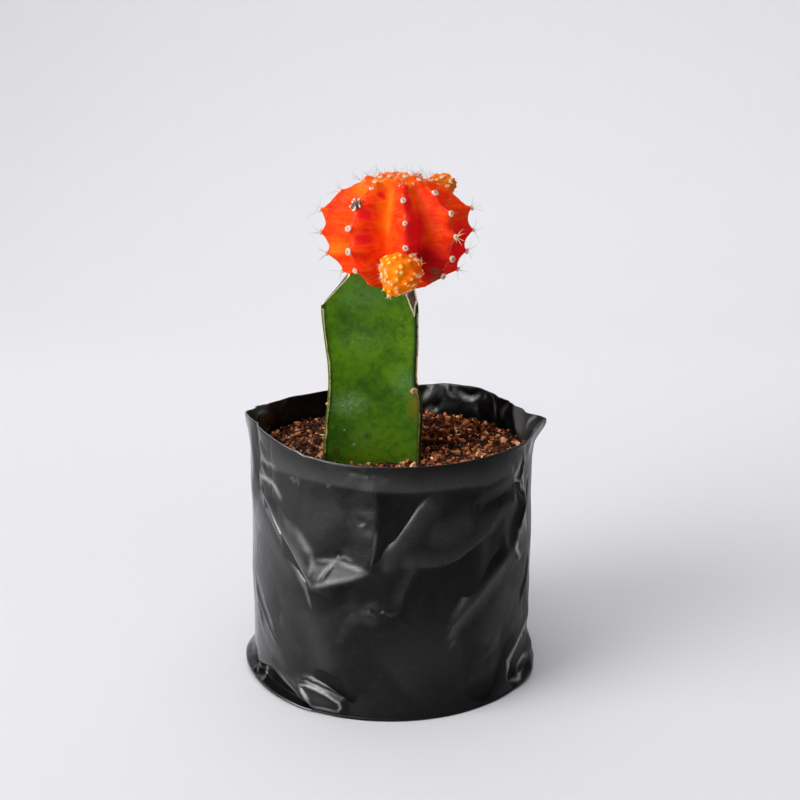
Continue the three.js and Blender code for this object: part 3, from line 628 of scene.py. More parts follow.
def along_line(points, angle, height):
    """How far each place on the wall is from a line of points, in millimetres.

    Gives its distance, above 0 on the left of the line, how far along the line it is nearest, and the line's
    length.
    """
    nearest = np.full(np.shape(angle), 1e9)
    side = np.zeros(np.shape(angle))
    reached = np.zeros(np.shape(angle))
    length = 0.0
    for (start_angle, start_height), (end_angle, end_height) in zip(points, points[1:]):
        run_x = (end_angle - start_angle) * AROUND_MM
        run_y = end_height - start_height
        away_x = turn_between(angle, start_angle) * AROUND_MM
        away_y = height - start_height
        size = math.hypot(run_x, run_y)
        share = np.clip((away_x * run_x + away_y * run_y) / size**2, 0, 1)
        distance = np.hypot(away_x - share * run_x, away_y - share * run_y)
        closer = distance < nearest
        nearest = np.where(closer, distance, nearest)
        side = np.where(closer, run_x * away_y - run_y * away_x, side)
        reached = np.where(closer, length + share * size, reached)
        length += size
    return np.where(side > 0, nearest, -nearest), reached, length


def fold_relief(angle, height):
    """Relief of the large folds behind, which fade out above the mix."""
    relief = np.zeros(np.shape(angle))
    for start, end, rise, width in FOLDS:
        distance, _, _ = along_line([start, end], angle, height)
        relief += rise * np.maximum(0, 1 - np.abs(distance) / width)
    return relief * (1 - 0.7 * smooth(height, 74, 80))


def facet_corners():
    """Corners of all facets as (mm round the wall, height, depth), and the pairs that a crease joins."""
    corners, creases = [], []
    for line in FACET_LINES:
        first = len(corners)
        corners += line
        creases += [(first + step, first + step + 1) for step in range(len(line) - 1)]
    corners += FACET_POINTS
    corners += [(angle, 0, 0) for angle in range(-80, 88, 8)]
    corners += [(angle, height, 0) for angle in range(-80, 84, 10) for height in (89, 98)]
    draw = np.random.default_rng(17)
    for row, height in enumerate((0, 10, 23, 37, 50, 64, 76, 82, 90, 98)):
        flat = height in (0, 98)
        for angle in np.arange(84 + row % 2 * 7, 276, 7.0 if 80 < height < 98 else 14.0):
            middle = 88 < angle < 272
            shift = np.array([4.0, 0 if flat else 3.5]) * draw.uniform(-1, 1, 2) * middle
            spot = (angle + shift[0], height + shift[1])
            rough = draw.uniform(-1, 1) * (0 if flat else 1.1 if middle else 0.4)
            corners.append((*spot, rough + float(fold_relief(np.array(spot[0]), spot[1])) * (not flat)))
    corners = np.array(corners, float)
    corners[:, 0] *= AROUND_MM
    # the sheet goes on past the line where its two ends meet
    ahead = corners[corners[:, 0] > 200 * AROUND_MM] - [360 * AROUND_MM, 0, 0]
    return np.concatenate([corners, ahead]), creases


def facet_relief(angle, height):
    """Depth of the flat facets at each place of a grid."""
    corners, creases = facet_corners()
    flat = [Vector(corner[:2]) for corner in corners]
    spots, _, triangles, origins, _, _ = geometry.delaunay_2d_cdt(flat, creases, [], 0, 1e-4)
    depths = []
    for spot, origin in zip(spots, origins):
        if origin:
            depths.append(corners[origin[0], 2])
        else:
            away = np.hypot(*(corners[:, :2] - np.array(spot)).T)
            depths.append(np.average(corners[:, 2], weights=away**-4.0))
    across = angle * AROUND_MM
    relief = np.zeros(angle.shape)
    for triangle in triangles:
        (x0, y0), (x1, y1), (x2, y2) = (spots[corner] for corner in triangle)
        turn = (x1 - x0) * (y2 - y0) - (x2 - x0) * (y1 - y0)
        if abs(turn) < 1e-9:
            continue
        part = window(across[0], height[:, 0], (x0, x1, x2), (y0, y1, y2), 0)
        x, y = across[part], height[part]
        second = ((x - x0) * (y2 - y0) - (y - y0) * (x2 - x0)) / turn
        third = ((x1 - x0) * (y - y0) - (y1 - y0) * (x - x0)) / turn
        inside = (second >= -1e-6) & (third >= -1e-6) & (second + third <= 1 + 1e-6)
        first_depth, second_depth, third_depth = (depths[corner] for corner in triangle)
        level = first_depth + second * (second_depth - first_depth) + third * (third_depth - first_depth)
        relief[part] = np.where(inside, level, relief[part])
    return relief


def window(columns, rows, x_range, y_range, margin):
    """The part of a grid round the given places."""
    left, right = np.searchsorted(columns, (min(x_range) - margin, max(x_range) + margin))
    below, above = np.searchsorted(rows, (min(y_range) - margin, max(y_range) + margin))
    return slice(max(below - 1, 0), above + 1), slice(max(left - 1, 0), right + 1)


def grid_near(points, reach):
    """The points of a line, and the part of the relief's grid within reach of them."""
    points = [(angle + 360 if angle < RELIEF_START else angle, height) for angle, height in points]
    angles, heights = zip(*points)
    columns = window(RELIEF_ANGLES, RELIEF_HEIGHTS, angles, heights, reach * 1.4 / AROUND_MM)[1]
    rows = window(RELIEF_ANGLES, RELIEF_HEIGHTS, angles, heights, reach + 1)[0]
    return points, (rows, columns)


def softened(relief, reach):
    """The relief with its edges rounded over the given reach in steps of the grid."""
    steps = np.arange(-3 * reach, 3 * reach + 1)
    shares = np.exp(-0.5 * (steps / reach) ** 2)
    for axis in (0, 1):
        relief = sum(share * np.roll(relief, step, axis) for step, share in zip(steps, shares / shares.sum()))
    return relief


def film_relief():
    """The relief of the film and its painted sheen and highlights, on a regular grid over the angles and
    heights.
    """
    angle, height = np.meshgrid(RELIEF_ANGLES, RELIEF_HEIGHTS)
    relief = softened(facet_relief(angle, height), 3)
    for points, rise, left, right in CREASES:
        points, part = grid_near(points, max(left, right))
        distance, reached, length = along_line(points, angle[part], height[part])
        width = np.where(distance > 0, left, right)
        taper = min(0.35 * length, 5.0)
        ends = smooth(reached, -0.3 * taper, taper) * smooth(length - reached, -0.3 * taper, taper)
        relief[part] += rise * ends * np.maximum(0, 1 - np.abs(distance) / width) ** 1.3
    # painted sheen and highlights: how much paler the film is near each line, the strongest line at each place
    pale = np.zeros(angle.shape)
    for points, strength, *widths in PAINTED_SHEEN_LINES:
        points, part = grid_near(points, 2 * max(widths))
        distance, reached, length = along_line(points, angle[part], height[part])
        away = distance / np.where(distance > 0, widths[0], widths[-1])
        ends = smooth(reached, -0.5, 3) * smooth(length - reached, -0.5, 3)
        paler = strength * (0.35 + 0.65 * ends) * np.exp(-(away**2))
        pale[part] = np.maximum(pale[part], paler)
    return relief, pale


# the grid starts at the left end of the front, so that no facet or crease lies across its ends
RELIEF_START = -134
RELIEF_ANGLES = np.arange(RELIEF_START, RELIEF_START + 360, RELIEF_STEP)
RELIEF_HEIGHTS = np.arange(0, 98, RELIEF_STEP)
RELIEF, PAINTED_SHEEN = film_relief()


def read_grid(grid, angle, height):
    """The values of a grid at any places."""
    angle, height = np.broadcast_arrays(angle, height)
    column = ((angle - RELIEF_START) % 360) / RELIEF_STEP
    row = np.clip(height / RELIEF_STEP, 0, grid.shape[0] - 1.001)
    left, below = np.floor(column).astype(int), np.floor(row).astype(int)
    right = (left + 1) % grid.shape[1]
    left = left % grid.shape[1]
    lower = mix(grid[below, left], grid[below, right], column % 1)
    upper = mix(grid[below + 1, left], grid[below + 1, right], column % 1)
    return mix(lower, upper, row % 1)


def rim_height(angle):
    """Height of the rim: raised at its corners and behind, and nicked at the front."""
    corners = 5.4 * hump(angle, -73, 24) + 1.6 * hump(angle, 88, 10)
    waves = 2.1 * hump(angle, 146, 15) + 1.0 * hump(angle, 125, 12) + 0.4 * hump(angle, 156, 4)
    nicks = 0.3 * hump(angle, -39, 1.6) - 0.3 * hump(angle, -35.5, 1.4)
    return BAG_HEIGHT - 0.5 + corners + waves + nicks


def lift(angle, height):
    """Above the mix, heights are stretched so that the top row follows the uneven rim."""
    share = np.maximum(0, (height - SOIL_LEVEL) / (BAG_HEIGHT - SOIL_LEVEL))
    return height + share * (rim_height(angle) - BAG_HEIGHT)


def wall_radius(angle, height, depth=1.0):
    """Outside of the film, without the lip at its foot."""
    front = np.cos(np.radians(angle)) ** 2
    flare = (BASE_RADIUS - WALL_RADIUS) * np.exp(-height / mix(2.5, 14, front))
    mouth = front * (WALL_RADIUS - RIM_RADIUS) * smooth(height, 60, BAG_HEIGHT)
    tip = np.maximum(0, 1 - np.abs(turn_between(angle, 91)) / 14) ** 1.6
    corners = 4.6 * tip + 1.6 * hump(angle, -90, 7)
    spout = corners * smooth(height, BAG_HEIGHT - 8, BAG_HEIGHT - 0.5)
    rolled = 1.3 * hump(angle, 72, 9) * smooth(height, BAG_HEIGHT - 2.2, BAG_HEIGHT)
    relief = depth * read_grid(RELIEF, angle, height) * smooth(height, 0, 1.6)
    return WALL_RADIUS + flare - mouth + spout + rolled + relief


# The lip round the left of the foot, where the folded base stands out: angle, radius and height of its
# crest, radius and height of the bottom of the hollow behind it, and height of the film that overhangs it
LIP = [
    (-114, 50.6, 1.0, 50.2, 1.2, 1.2),
    (-104, 51.2, 1.8, 49.4, 3.2, 3.2),
    (-90, 51.8, 2.4, 49.2, 4.6, 4.6),
    (-78, 51.8, 2.8, 49.0, 4.8, 4.8),
    (-71, 51.6, 3.0, 48.4, 4.2, 4.8),
    (-67, 51.5, 3.0, 46.6, 1.4, 6.2),
    (-55, 51.2, 2.3, 46.2, 0.9, 8.8),
    (-48, 51.1, 1.8, 46.4, 0.9, 7.0),
    (-42, 51.0, 1.5, 46.8, 0.9, 5.2),
    (-37, 51.0, 1.3, 47.4, 0.9, 3.4),
    (-32, 50.9, 1.2, 49.6, 0.9, 2.0),
    (-29, 50.8, 1.0, 50.5, 1.15, 1.2),
]


def lip_share(angle):
    """1 where the lip stands out and 0 elsewhere."""
    return smooth(angle, -114, -104) * (1 - smooth(angle, -33, -28))


def hollow_share(angle):
    """1 where there is a hollow behind the lip."""
    return smooth(angle, -72, -67) * (1 - smooth(angle, -35, -29))


def column_angles(count):
    """Angles all round, set closer at the front, where the creases show."""
    turn = np.arange(count) / count * 2 * math.pi
    return np.degrees(turn - 0.33 * np.sin(turn))


FILM_COLUMNS = 530
MOUTH_ROWS = 19  # rows inside the film from its rim down to just under the top of the mix
INSIDE_LEVELS = (60, 40, 20)  # and the heights of the rows below them, behind the mix
INSIDE_ROWS = MOUTH_ROWS + len(INSIDE_LEVELS) + 2
RIM_ROWS = 3


def film_points(film, depth):
    """Rows of points from the middle of the base, up the outside and over the rim, and down the inside."""
    angle = turn_between(column_angles(FILM_COLUMNS), 0)
    lip = lip_share(angle)
    hollow = hollow_share(angle)
    reach = 1.9 * hump(angle, -80, 28) + 1.1 * hump(angle, 72, 10) + 1.5 * hump(angle, 165, 34)
    base = wall_radius(angle, np.zeros_like(angle)) + 0.4 * reach * (1 - lip) + 0.4 * lip
    table = np.array(LIP).T
    crest_r, crest_h, foot_r, foot_h, over = (np.interp(angle, table[0], row) for row in table[1:])
    plain = wall_radius(angle, np.ones_like(angle)) + reach
    crest_radius = mix(plain, crest_r, lip)
    crest_height = mix(1.0, crest_h, lip)
    pocket_radius = mix(plain - 0.2, foot_r, lip)
    pocket_height = mix(1.15, foot_h, lip)

    rows = [place_around(angle, share * (base - 0.5), 0.0) for share in (0, 0.5, 0.9, 0.98, 1)]
    for share in np.linspace(0.1, 1, 8):  # outside of the lip
        bulge = 0.5 * np.sin(math.pi * share) * lip
        radius = mix(base - 0.5 * (1 - share) ** 2, crest_radius, share) + bulge
        rows.append(place_around(angle, radius, crest_height * share))
    for share in np.linspace(0.12, 1, 8):  # over the lip, and down into its hollow or up its roll
        eased = mix(share, smooth(share, 0.0, 0.9), hollow)
        level = mix(crest_height, pocket_height, eased)
        bulge = 0.8 * np.sin(math.pi * share) * lip * (1 - hollow)
        rows.append(place_around(angle, mix(crest_radius, pocket_radius, smooth(share, 0, 1)) + bulge, level))
    share = np.concatenate([np.linspace(0, 0.115, 25)[1:], np.linspace(0.115, 1, 113)[1:]])[:, None]
    level = mix(pocket_height, BAG_HEIGHT, share)
    under = hollow * (1 - smooth(level, over - 1.4, over + 0.3))
    outward = reach * (1 - lip) * (1 - smooth(level, 3, 8))
    outward = outward + (0.5 * hollow) * np.exp(-(((level - over - 1.4) / 2.0) ** 2))
    rolled = lip * (1 - hollow) * (1 - smooth(level, foot_h, foot_h + 3.5))
    radius = wall_radius(angle, level, depth) + outward
    radius = mix(mix(radius, pocket_radius, under), np.maximum(radius, pocket_radius), rolled)
    rows += list(place_around(angle, radius, lift(angle, level)))
    top = rim_height(angle)
    edge = wall_radius(angle, np.full_like(angle, BAG_HEIGHT), depth)
    for inward, up in ((0.15, 0.25), (0.5, 0.35), (0.85, 0.25)):
        rows.append(place_around(angle, edge - inward * film, top + up * film))
    for level in [*np.linspace(BAG_HEIGHT, SOIL_LEVEL - 3.5, MOUTH_ROWS), *INSIDE_LEVELS, film + 0.4]:
        level = np.full_like(angle, level)
        inner = wall_radius(angle, level, depth) - film
        pocket = mix(inner, foot_r - film, hollow * (1 - smooth(level, 9, 12)))
        rows.append(place_around(angle, np.minimum(inner, pocket), lift(angle, level)))
    rows.append(place_around(angle, np.zeros_like(angle), film + 0.4))
    return np.array(rows)


def film_material(settings):
    """Black film, dusty, with painted sheen and highlights along its creases and in broad patches, and
    glossier on its flanks.
    """
    surface = Surface("black_film", IOR=1.5, Specular_IOR_Level=settings.gloss, Coat_Roughness=0.16)
    place = surface.millimetres()
    broad = surface.noise(place, 0.07, 3.0)
    pebble = surface.noise(place, 1.6, 2.0, 0.6)
    dust = surface.noise(place, 0.35, 4.0, 0.65).step(0.5, 0.8)
    fine = surface.noise(place, 0.22, 4.0, 0.55)
    colour = surface.blend(dust * 0.17, tuple(settings.colour), (0.03, 0.028, 0.027))
    speckle = surface.noise(place, 2.4, 3.0, 0.7).step(0.3, 0.72)
    # painted sheen and highlights: a grainy paler grey where the pale value is high
    colour = surface.blend(surface.value("pale") * (0.55 + speckle * 0.55), colour, (0.40, 0.40, 0.41))
    roughness = settings.roughness + broad * 0.16 + dust * 0.08
    relief = surface.bump(pebble, 0.5, 0.05)
    relief = surface.bump(fine, 0.55, 0.35, relief)
    surface.feed(surface.shader.inputs["Coat Weight"], surface.value("shine") * 0.65)
    return surface.finish(colour, roughness, relief)


class BagSettings(bpy.types.PropertyGroup):
    film: FloatProperty(name="Film", description="Thickness of the film", default=0.5 * MM, unit="LENGTH")
    depth: FloatProperty(name="Creases", description="Depth of the creases", default=1.0, subtype="FACTOR")
    colour: FloatVectorProperty(
        name="Colour", description="Colour of the film", subtype="COLOR", default=(0.0025, 0.0024, 0.0025)
    )
    roughness: FloatProperty(name="Roughness", description="Least roughness of the film", default=0.23)
    gloss: FloatProperty(name="Gloss", description="Strength of the film's reflections", default=0.108)


class CACTUS_OT_grow_bag(bpy.types.Operator):
    """Model the creased film bag, with its lip, flap, corners and rim"""

    bl_idname = "cactus.grow_bag"
    bl_label = "Film bag"

    def execute(self, context):
        settings = context.scene.cactus_bag
        points = film_points(settings.film / MM, settings.depth)
        angle = np.degrees(np.arctan2(points[..., 0], -points[..., 1]))
        # the painted sheen and highlights at each point, inside the mouth only at the back
        pale = read_grid(PAINTED_SHEEN, angle, points[..., 2])
        pale[-INSIDE_ROWS:] *= np.abs(angle[-INSIDE_ROWS:]) > 90
        edge = slice(-INSIDE_ROWS - RIM_ROWS, -INSIDE_ROWS)
        # a painted highlight along the rim, strongest at the front left
        pale[edge] = 0.1 + 0.3 * hump(angle[edge], -52, 16)
        left = smooth(-angle, 18, 62) * (1 - smooth(-angle, 105, 150))
        right = 1.5 * pale * smooth(angle, 40, 55) * (1 - smooth(angle, 82, 95))
        bag = rolled_sheet("bag_film", points, pale=pale, shine=np.maximum(left, right))
        finish_piece(bag, film_material(settings), ["grow_bag"])
        return {"FINISHED"}


# Rootstock

STOCK_AXIS = np.array([-7.0, -2.8])
STOCK_FOOT = 40.0
STOCK_TOP = 140.0
RIB_EDGES = [
    [(-22.9, -10.1), (-22.3, -12.3)],
    [(8.7, -12.3), (10, -10.3)],
    [(-5.7, 15.6), (-7.9, 15.6)],
]
FACE_HOLLOWS = [1.2, 2.4, 2.4]
# The cuts of its shoulders: a point on the cut, the way that the cut faces, and the width of its pale edge
SHOULDER_CUTS = [
    ((-22.8, -12, 130.2), (-9.7, 0, 9.2), 0.9),
    ((8.4, -12, 126.5), (5, -9, 2.6), 0.55),
    ((-7, 15, 128), (0, 8, 7), 0.4),
]
# Strips of cork along its margins: rib, share of the way across the margin, lowest, highest, half width
CORK = [
    (0, 0.85, 79, 129, 0.3),
    (1, 0.35, 74, 101.5, 0.3),
    (1, 1.0, 103, 127, 0.34),
    (2, 0.5, 82, 103, 0.6),
]
# The areoles on its margins: place, and radius of the pad
STOCK_AREOLES = [(7.3, -12.3, 101.6, 1.2), (-20.9, -11.6, 97, 0.55), (-6.8, 14.3, 104, 1.3)]
# Patches of colour on its skin: centre, reach along each axis, and strength
WAXY = [
    ((-14, -12, 96.8), (9.5, 9, 6.5), 1.1),
    ((4.2, -12, 104), (6.5, 9, 7), 0.55),
    ((-9.5, -12, 133.5), (11, 9, 8), 0.35),
    ((-10, -12, 119), (12, 9, 9), 0.25),
    ((-10, -12, 86), (8, 9, 7), 0.2),
    ((-14, 6, 110), (9, 9, 18), 0.5),
    ((0, 6, 96), (9, 9, 16), 0.4),
]
WARM = [((5, -12, 121), (8, 12, 15), 1), ((-3, -12, 84), (11, 12, 8), 0.7)]
# painted glints: two small pale specks
PAINTED_GLINTS = [((-15.6, -12, 87.8), (0.6, 6, 0.5), 1), ((-12.5, -12, 82.6), (0.9, 6, 0.6), 1)]


def stock_outline():
    """Points round the section of the stock: a hollow face and then the margin of a rib, three times."""
    outline = []
    for rib, (_, start) in enumerate(RIB_EDGES):
        end, far = RIB_EDGES[(rib + 1) % len(RIB_EDGES)]
        start, end, far = np.array(start, float), np.array(end, float), np.array(far, float)
        middle = (start + end) / 2
        inward = STOCK_AXIS - middle
        middle = middle + inward / np.linalg.norm(inward) * 2 * FACE_HOLLOWS[rib]
        for share in np.linspace(0, 1, 45)[:-1]:
            share = smooth(share, 0, 1) * 0.35 + share * 0.65
            outline.append((1 - share) ** 2 * start + 2 * share * (1 - share) * middle + share**2 * end)
        run = far - end
        inward = np.array([-run[1], run[0]]) / np.linalg.norm(run)
        for share in np.linspace(0, 1, 7)[:-1]:
            outline.append(mix(end, far, share) + inward * 0.35 * math.sin(math.pi * share))
    return np.array(outline)


def stock_reach(height):
    """How far the left, right and back ribs reach at a height, as shares of their full reach."""
    left = 1 - 0.065 * (1 - np.cos(2 * math.pi * (height - 130) / 50))
    under_areole = 0.08 * (1 - smooth(height, 98, 104))
    right = 0.955 + under_areole - 0.015 * (1 - np.cos(2 * math.pi * (height - 121) / 28))
    back = 1 - 0.04 * (1 - np.cos(2 * math.pi * (height - 112) / 50))
    return left, right, back


def drawn_in(x, y, height):
    """A place in the section of the stock, drawn in as far as its rib is at a height."""
    left, right, back = stock_reach(height)
    return x * np.where(x < 0, left, right), y * np.where(y > 0, back, 1)


def stock_section(height, grow=0.0):
    """The outline of the stock at a height."""
    section = np.stack(drawn_in(*(stock_outline() - STOCK_AXIS).T, height), axis=-1)
    return STOCK_AXIS + section * (1 + grow / np.linalg.norm(section, axis=-1, keepdims=True))


def stock_points():
    """Rows of points from the middle of the foot of the stock, up its sides, to the middle of its top."""
    rows = []
    for height in np.linspace(STOCK_FOOT, STOCK_TOP, 150):
        section = stock_section(height)
        rows.append(np.column_stack([section, np.full(len(section), height)]))
    rows = np.array(rows)
    middle = np.array([*STOCK_AXIS, 0])
    outward = unit((rows - middle) * [1, 1, 0])
    swell = 0.22 * grain(rows, 9.0, 5.1) + 0.1 * grain(rows, 3.0, 8.3)
    rows = rows + outward * swell[..., None]
    foot = np.full_like(rows[:1], 0) + [*STOCK_AXIS, STOCK_FOOT]
    head = np.full_like(rows[:1], 0) + [*STOCK_AXIS, STOCK_TOP]
    return np.concatenate([foot, rows, head])


def slice_shoulders(piece):
    """Cuts the shoulders off, and insets each cut so that the skin leaves a thin pale edge round it."""
    for point, normal, edge_width in SHOULDER_CUTS:
        cut_place, cut_normal = Vector(point) * MM, Vector(normal).normalized()
        bpy.ops.object.mode_set(mode="EDIT")
        bpy.ops.mesh.select_all(action="SELECT")
        bpy.ops.mesh.bisect(plane_co=cut_place, plane_no=cut_normal, use_fill=True, clear_outer=True)
        bpy.ops.object.mode_set(mode="OBJECT")
        for face in piece.data.polygons:
            on_cut = abs((face.center - cut_place).dot(cut_normal)) < 1e-6
            face.select = on_cut
            face.material_index = 1 if on_cut else face.material_index
        bpy.ops.object.mode_set(mode="EDIT")
        bpy.ops.mesh.select_mode(type="FACE")
        bpy.ops.mesh.inset(thickness=edge_width * MM, depth=0)
        bpy.ops.object.mode_set(mode="OBJECT")
        for face in piece.data.polygons:
            if face.select:
                face.material_index = 2
        bpy.ops.object.mode_set(mode="EDIT")
        bpy.ops.mesh.select_mode(type="VERT")
        bpy.ops.object.mode_set(mode="OBJECT")


def skin_material(settings):
    """Mottled green with waxy and warm patches, a brown stain, dark margins, strips of cork, painted shade and
    glints.
    """
    surface = Surface("green_skin", IOR=1.45, Specular_IOR_Level=0.04)
    place = surface.millimetres()
    brushed = surface.millimetres((0.3, 0.3, 1))
    broad = surface.noise(place, 0.12, 4.0, 0.6)
    mottle = surface.noise(place, 0.45, 5.0, 0.68)
    streaks = surface.noise(brushed, 1.2, 3.0, 0.6)
    fine = surface.noise(place, 1.3, 4.0, 0.65)
    tone = (broad * 0.6 + mottle * 0.5).step(0.36, 0.72)
    colour = surface.blend(tone, tuple(settings.dark), tuple(settings.light))
    # painted shade under the head: a darker bluish green at the top of the stock
    painted_head_shade = surface.near(place, (-8, -12, 135), (17, 12, 12)) * mottle.step(0.3, 0.6)
    colour = surface.blend(painted_head_shade * 0.4, colour, (0.028, 0.118, 0.026))
    warm = surface.patches(place, WARM) * mottle.step(0.35, 0.62)
    colour = surface.blend(warm * 0.5, colour, (0.135, 0.22, 0.006))
    bloom = surface.patches(place, WAXY) * fine.step(0.25, 0.75) * streaks.step(0.15, 0.7)
    colour = surface.blend(bloom * settings.bloom, colour, (0.25, 0.42, 0.23))
    low = (1 - surface.along(place, 2).step(76, 86)) * mottle.step(0.4, 0.7)
    colour = surface.blend(low * 0.4, colour, (0.12, 0.17, 0.012))
    stain = surface.near(place, (8.2, -12, 96.4), (4.2, 6, 7.5)) * mottle.step(0.32, 0.62)
    colour = surface.blend(stain * (0.4 + fine) * 0.9, colour, (0.22, 0.085, 0.010))
    # painted glints: small pale green specks
    painted_glints = surface.patches(place, PAINTED_GLINTS).step(0.1, 0.5)
    colour = surface.blend(painted_glints * 0.55, colour, (0.38, 0.52, 0.30))
    rust = surface.near(place, (-18.2, -12, 80.2), (1.3, 6, 1.6))
    ring = rust.step(0.05, 0.35) * (1 - rust.step(0.5, 0.8))
    colour = surface.blend(ring * 0.8, colour, (0.09, 0.035, 0.006))
    edge = surface.value("margin")
    colour = surface.blend(edge * settings.margin_dark, colour, (0.008, 0.02, 0.004))
    cork = surface.value("cork")
    flecked = surface.noise(place, 0.9, 4.0, 0.65).step(0.35, 0.65)
    tan = surface.blend(flecked, (0.30, 0.15, 0.05), (0.78, 0.57, 0.30))
    colour = surface.blend(cork.step(0.25, 0.6), colour, tan)
    relief = surface.bump(fine, 0.35, 0.12)
    relief = surface.bump(mottle, 0.4, 0.25, relief)
    roughness = 0.46 + bloom * 0.25 + cork * 0.3 + fine * 0.08
    return surface.finish(colour, roughness, relief)


def cut_edge_material():
    surface = Surface("cut_edge", Roughness=0.6)
    grainy = surface.noise(surface.millimetres(), 1.5, 3.0)
    return surface.finish(surface.blend(grainy, (0.70, 0.60, 0.38), (0.95, 0.88, 0.66)))


def cut_flesh_material():
    surface = Surface("cut_flesh", Roughness=0.7)
    place = surface.millimetres((1, 1, 0.3))
    streaks = surface.noise(place, 1.3, 4.0, 0.6)
    colour = surface.blend(streaks.step(0.35, 0.7), (0.026, 0.016, 0.007), (0.10, 0.07, 0.028))
    return surface.finish(colour, normal=surface.bump(streaks, 0.6, 0.25))


class StockSettings(bpy.types.PropertyGroup):
    dark: FloatVectorProperty(
        name="Dark", description="Darker green of the skin", subtype="COLOR", default=(0.024, 0.088, 0.003)
    )
    light: FloatVectorProperty(
        name="Light", description="Lighter green of the skin", subtype="COLOR", default=(0.086, 0.198, 0.003)
    )
    bloom: FloatProperty(
        name="Bloom", description="Strength of the waxy patches", default=0.7, subtype="FACTOR"
    )
    margin_dark: FloatProperty(
        name="Dark margins", description="Strength of the dark rib margins", default=0.75, subtype="FACTOR"
    )


class CACTUS_OT_rootstock(bpy.types.Operator):
    """Model the green three-angled stock, with its cuts, margins and areoles"""

    bl_idname = "cactus.rootstock"
    bl_label = "Rootstock"

    def execute(self, context):
        settings = context.scene.cactus_stock
        stock = rolled_sheet("stock_stem", stock_points())
        slice_shoulders(stock)
        points = points_of(stock)
        nearest_margin = np.zeros(len(points))
        cork = np.zeros(len(points))
        for rib, share, low, high, thick in CORK:
            middle = mix(*np.array(RIB_EDGES[rib], float), share) - STOCK_AXIS
            x, y = drawn_in(*middle, points[:, 2])
            away = np.hypot(points[:, 0] - STOCK_AXIS[0] - x, points[:, 1] - STOCK_AXIS[1] - y)
            nearest_margin = np.maximum(nearest_margin, 1 - smooth(away, 0.8, 1.3))
            wander = 0.6 * thick * grain(points * [0, 0, 1], 6.0, rib * 3.1)
            stretch = smooth(points[:, 2], low, low + 1.5) * (1 - smooth(points[:, 2], high, high + 1))
            cork = np.maximum(cork, stretch * (1 - smooth(away + wander, thick, 2 * thick + 0.1)))
        store(stock, "margin", nearest_margin)
        store(stock, "cork", cork)
        materials = [skin_material(settings), cut_edge_material(), cut_flesh_material()]
        indices = [face.material_index for face in stock.data.polygons]
        finish_piece(stock, materials, ["rootstock"], smooth_angle=32)
        stock.data.polygons.foreach_set("material_index", indices)
        spots, ways, sizes = [], [], []
        for *spot, size in STOCK_AREOLES:
            way = unit(np.array([spot[0] - STOCK_AXIS[0], spot[1] - STOCK_AXIS[1], 0]))
            spots.append(np.array(spot) + way * 0.4)
            ways.append(way + np.array([0, -1.6, 0]) * (spot[1] < 0))
            sizes.append(size)
        felt = areole_pads("stock_areoles", spots, ways, sizes, ring=0.36)
        finish_piece(felt, corky_material())
        return {"FINISHED"}


def corky_material():
    surface = Surface("corky_ring", Roughness=0.8)
    place = surface.millimetres()
    grainy = surface.noise(place, 1.4, 3.0)
    tan = surface.blend(grainy, (0.36, 0.13, 0.03), (0.60, 0.34, 0.12))
    colour = surface.blend(surface.value("core"), tan, (0.10, 0.045, 0.016))
    return surface.finish(colour, normal=surface.bump(grainy, 0.5, 0.2))


# Areoles and spines

def areole_pads(name, spots, ways, sizes, ring=0.42, rolls=None):
    """Felt pads with a sunken core, one for each spot, facing its way."""
    deselect()
    bpy.ops.mesh.primitive_uv_sphere_add(segments=12, ring_count=8, radius=MM)
    pad = rename_new(name + "_model")
    points = points_of(pad)
    across = np.hypot(points[:, 0], points[:, 1])
    core = (1 - smooth(across, 0.25, 0.5)) * (points[:, 2] > 0)
    points[:, 2] = points[:, 2] * (0.75 - ring * (1 - smooth(across, 0.1, 0.7)) * (points[:, 2] > 0))
    move_points(pad, points)
    store(pad, "core", core)
    points[:, :2] *= 1 + 0.16 * grain(points, 0.6, 2.0)[:, None]
    move_points(pad, points)
    rolls = np.zeros(len(spots)) if rolls is None else rolls
    placements = [
        placement(spot, facing(way, roll), np.array([1.08, 0.92, 0.8]) * size)
        for spot, way, size, roll in zip(spots, ways, sizes, rolls)
    ]
    return copies(name, pad, placements)


def spine_model(name, length, radius, bow):
    """A tapered spine of length 1 that bows aside, with how far along each point is."""
    shares = np.array([0, 0.25, 0.5, 0.75, 0.93, 1.0])
    turn = np.arange(5) / 5 * 2 * math.pi
    rows = [np.zeros((5, 3))]
    for share in shares[:-1]:
        width = radius * (1 - 0.85 * share)
        ring = np.stack([np.cos(turn) * width, np.sin(turn) * width, np.full(5, share * length)], axis=-1)
        ring[:, 0] += bow * share**2
        rows.append(ring)
    rows.append(np.tile([bow, 0, length], (5, 1)))
    spine = rolled_sheet(name, np.array(rows))
    store(spine, "along", points_of(spine)[:, 2] / length)
    return spine


def spine_fans(name, spots, ways, counts, sizes, length, radius, lean, draw):
    """Spines that lean out all round from each spot, shorter and paler where the size is small."""
    placements, tones = [], []
    for spot, way, count, whole in zip(spots, ways, counts, sizes):
        way = np.array(way) / np.linalg.norm(way)
        start = draw.random() * 2 * math.pi
        for number in range(count):
            turn = start + 2 * math.pi * (number + 0.5 * draw.random()) / count
            tilt = math.radians(lean * mix(0.55, 1.25, draw.random()))
            aside = math.sin(tilt)
            direction = facing(way) @ [aside * math.cos(turn), aside * math.sin(turn), math.cos(tilt)]
            size = whole * mix(0.6, 1.12, draw.random())
            placements.append(placement(spot, facing(direction, draw.random() * 6), (1, 1, size)))
            tones.append(draw.random() if whole > 0.6 else -0.6)
    model = spine_model(name + "_model", length, radius, bow=0.09 * length)
    return copies(name, model, placements, tone=tones)


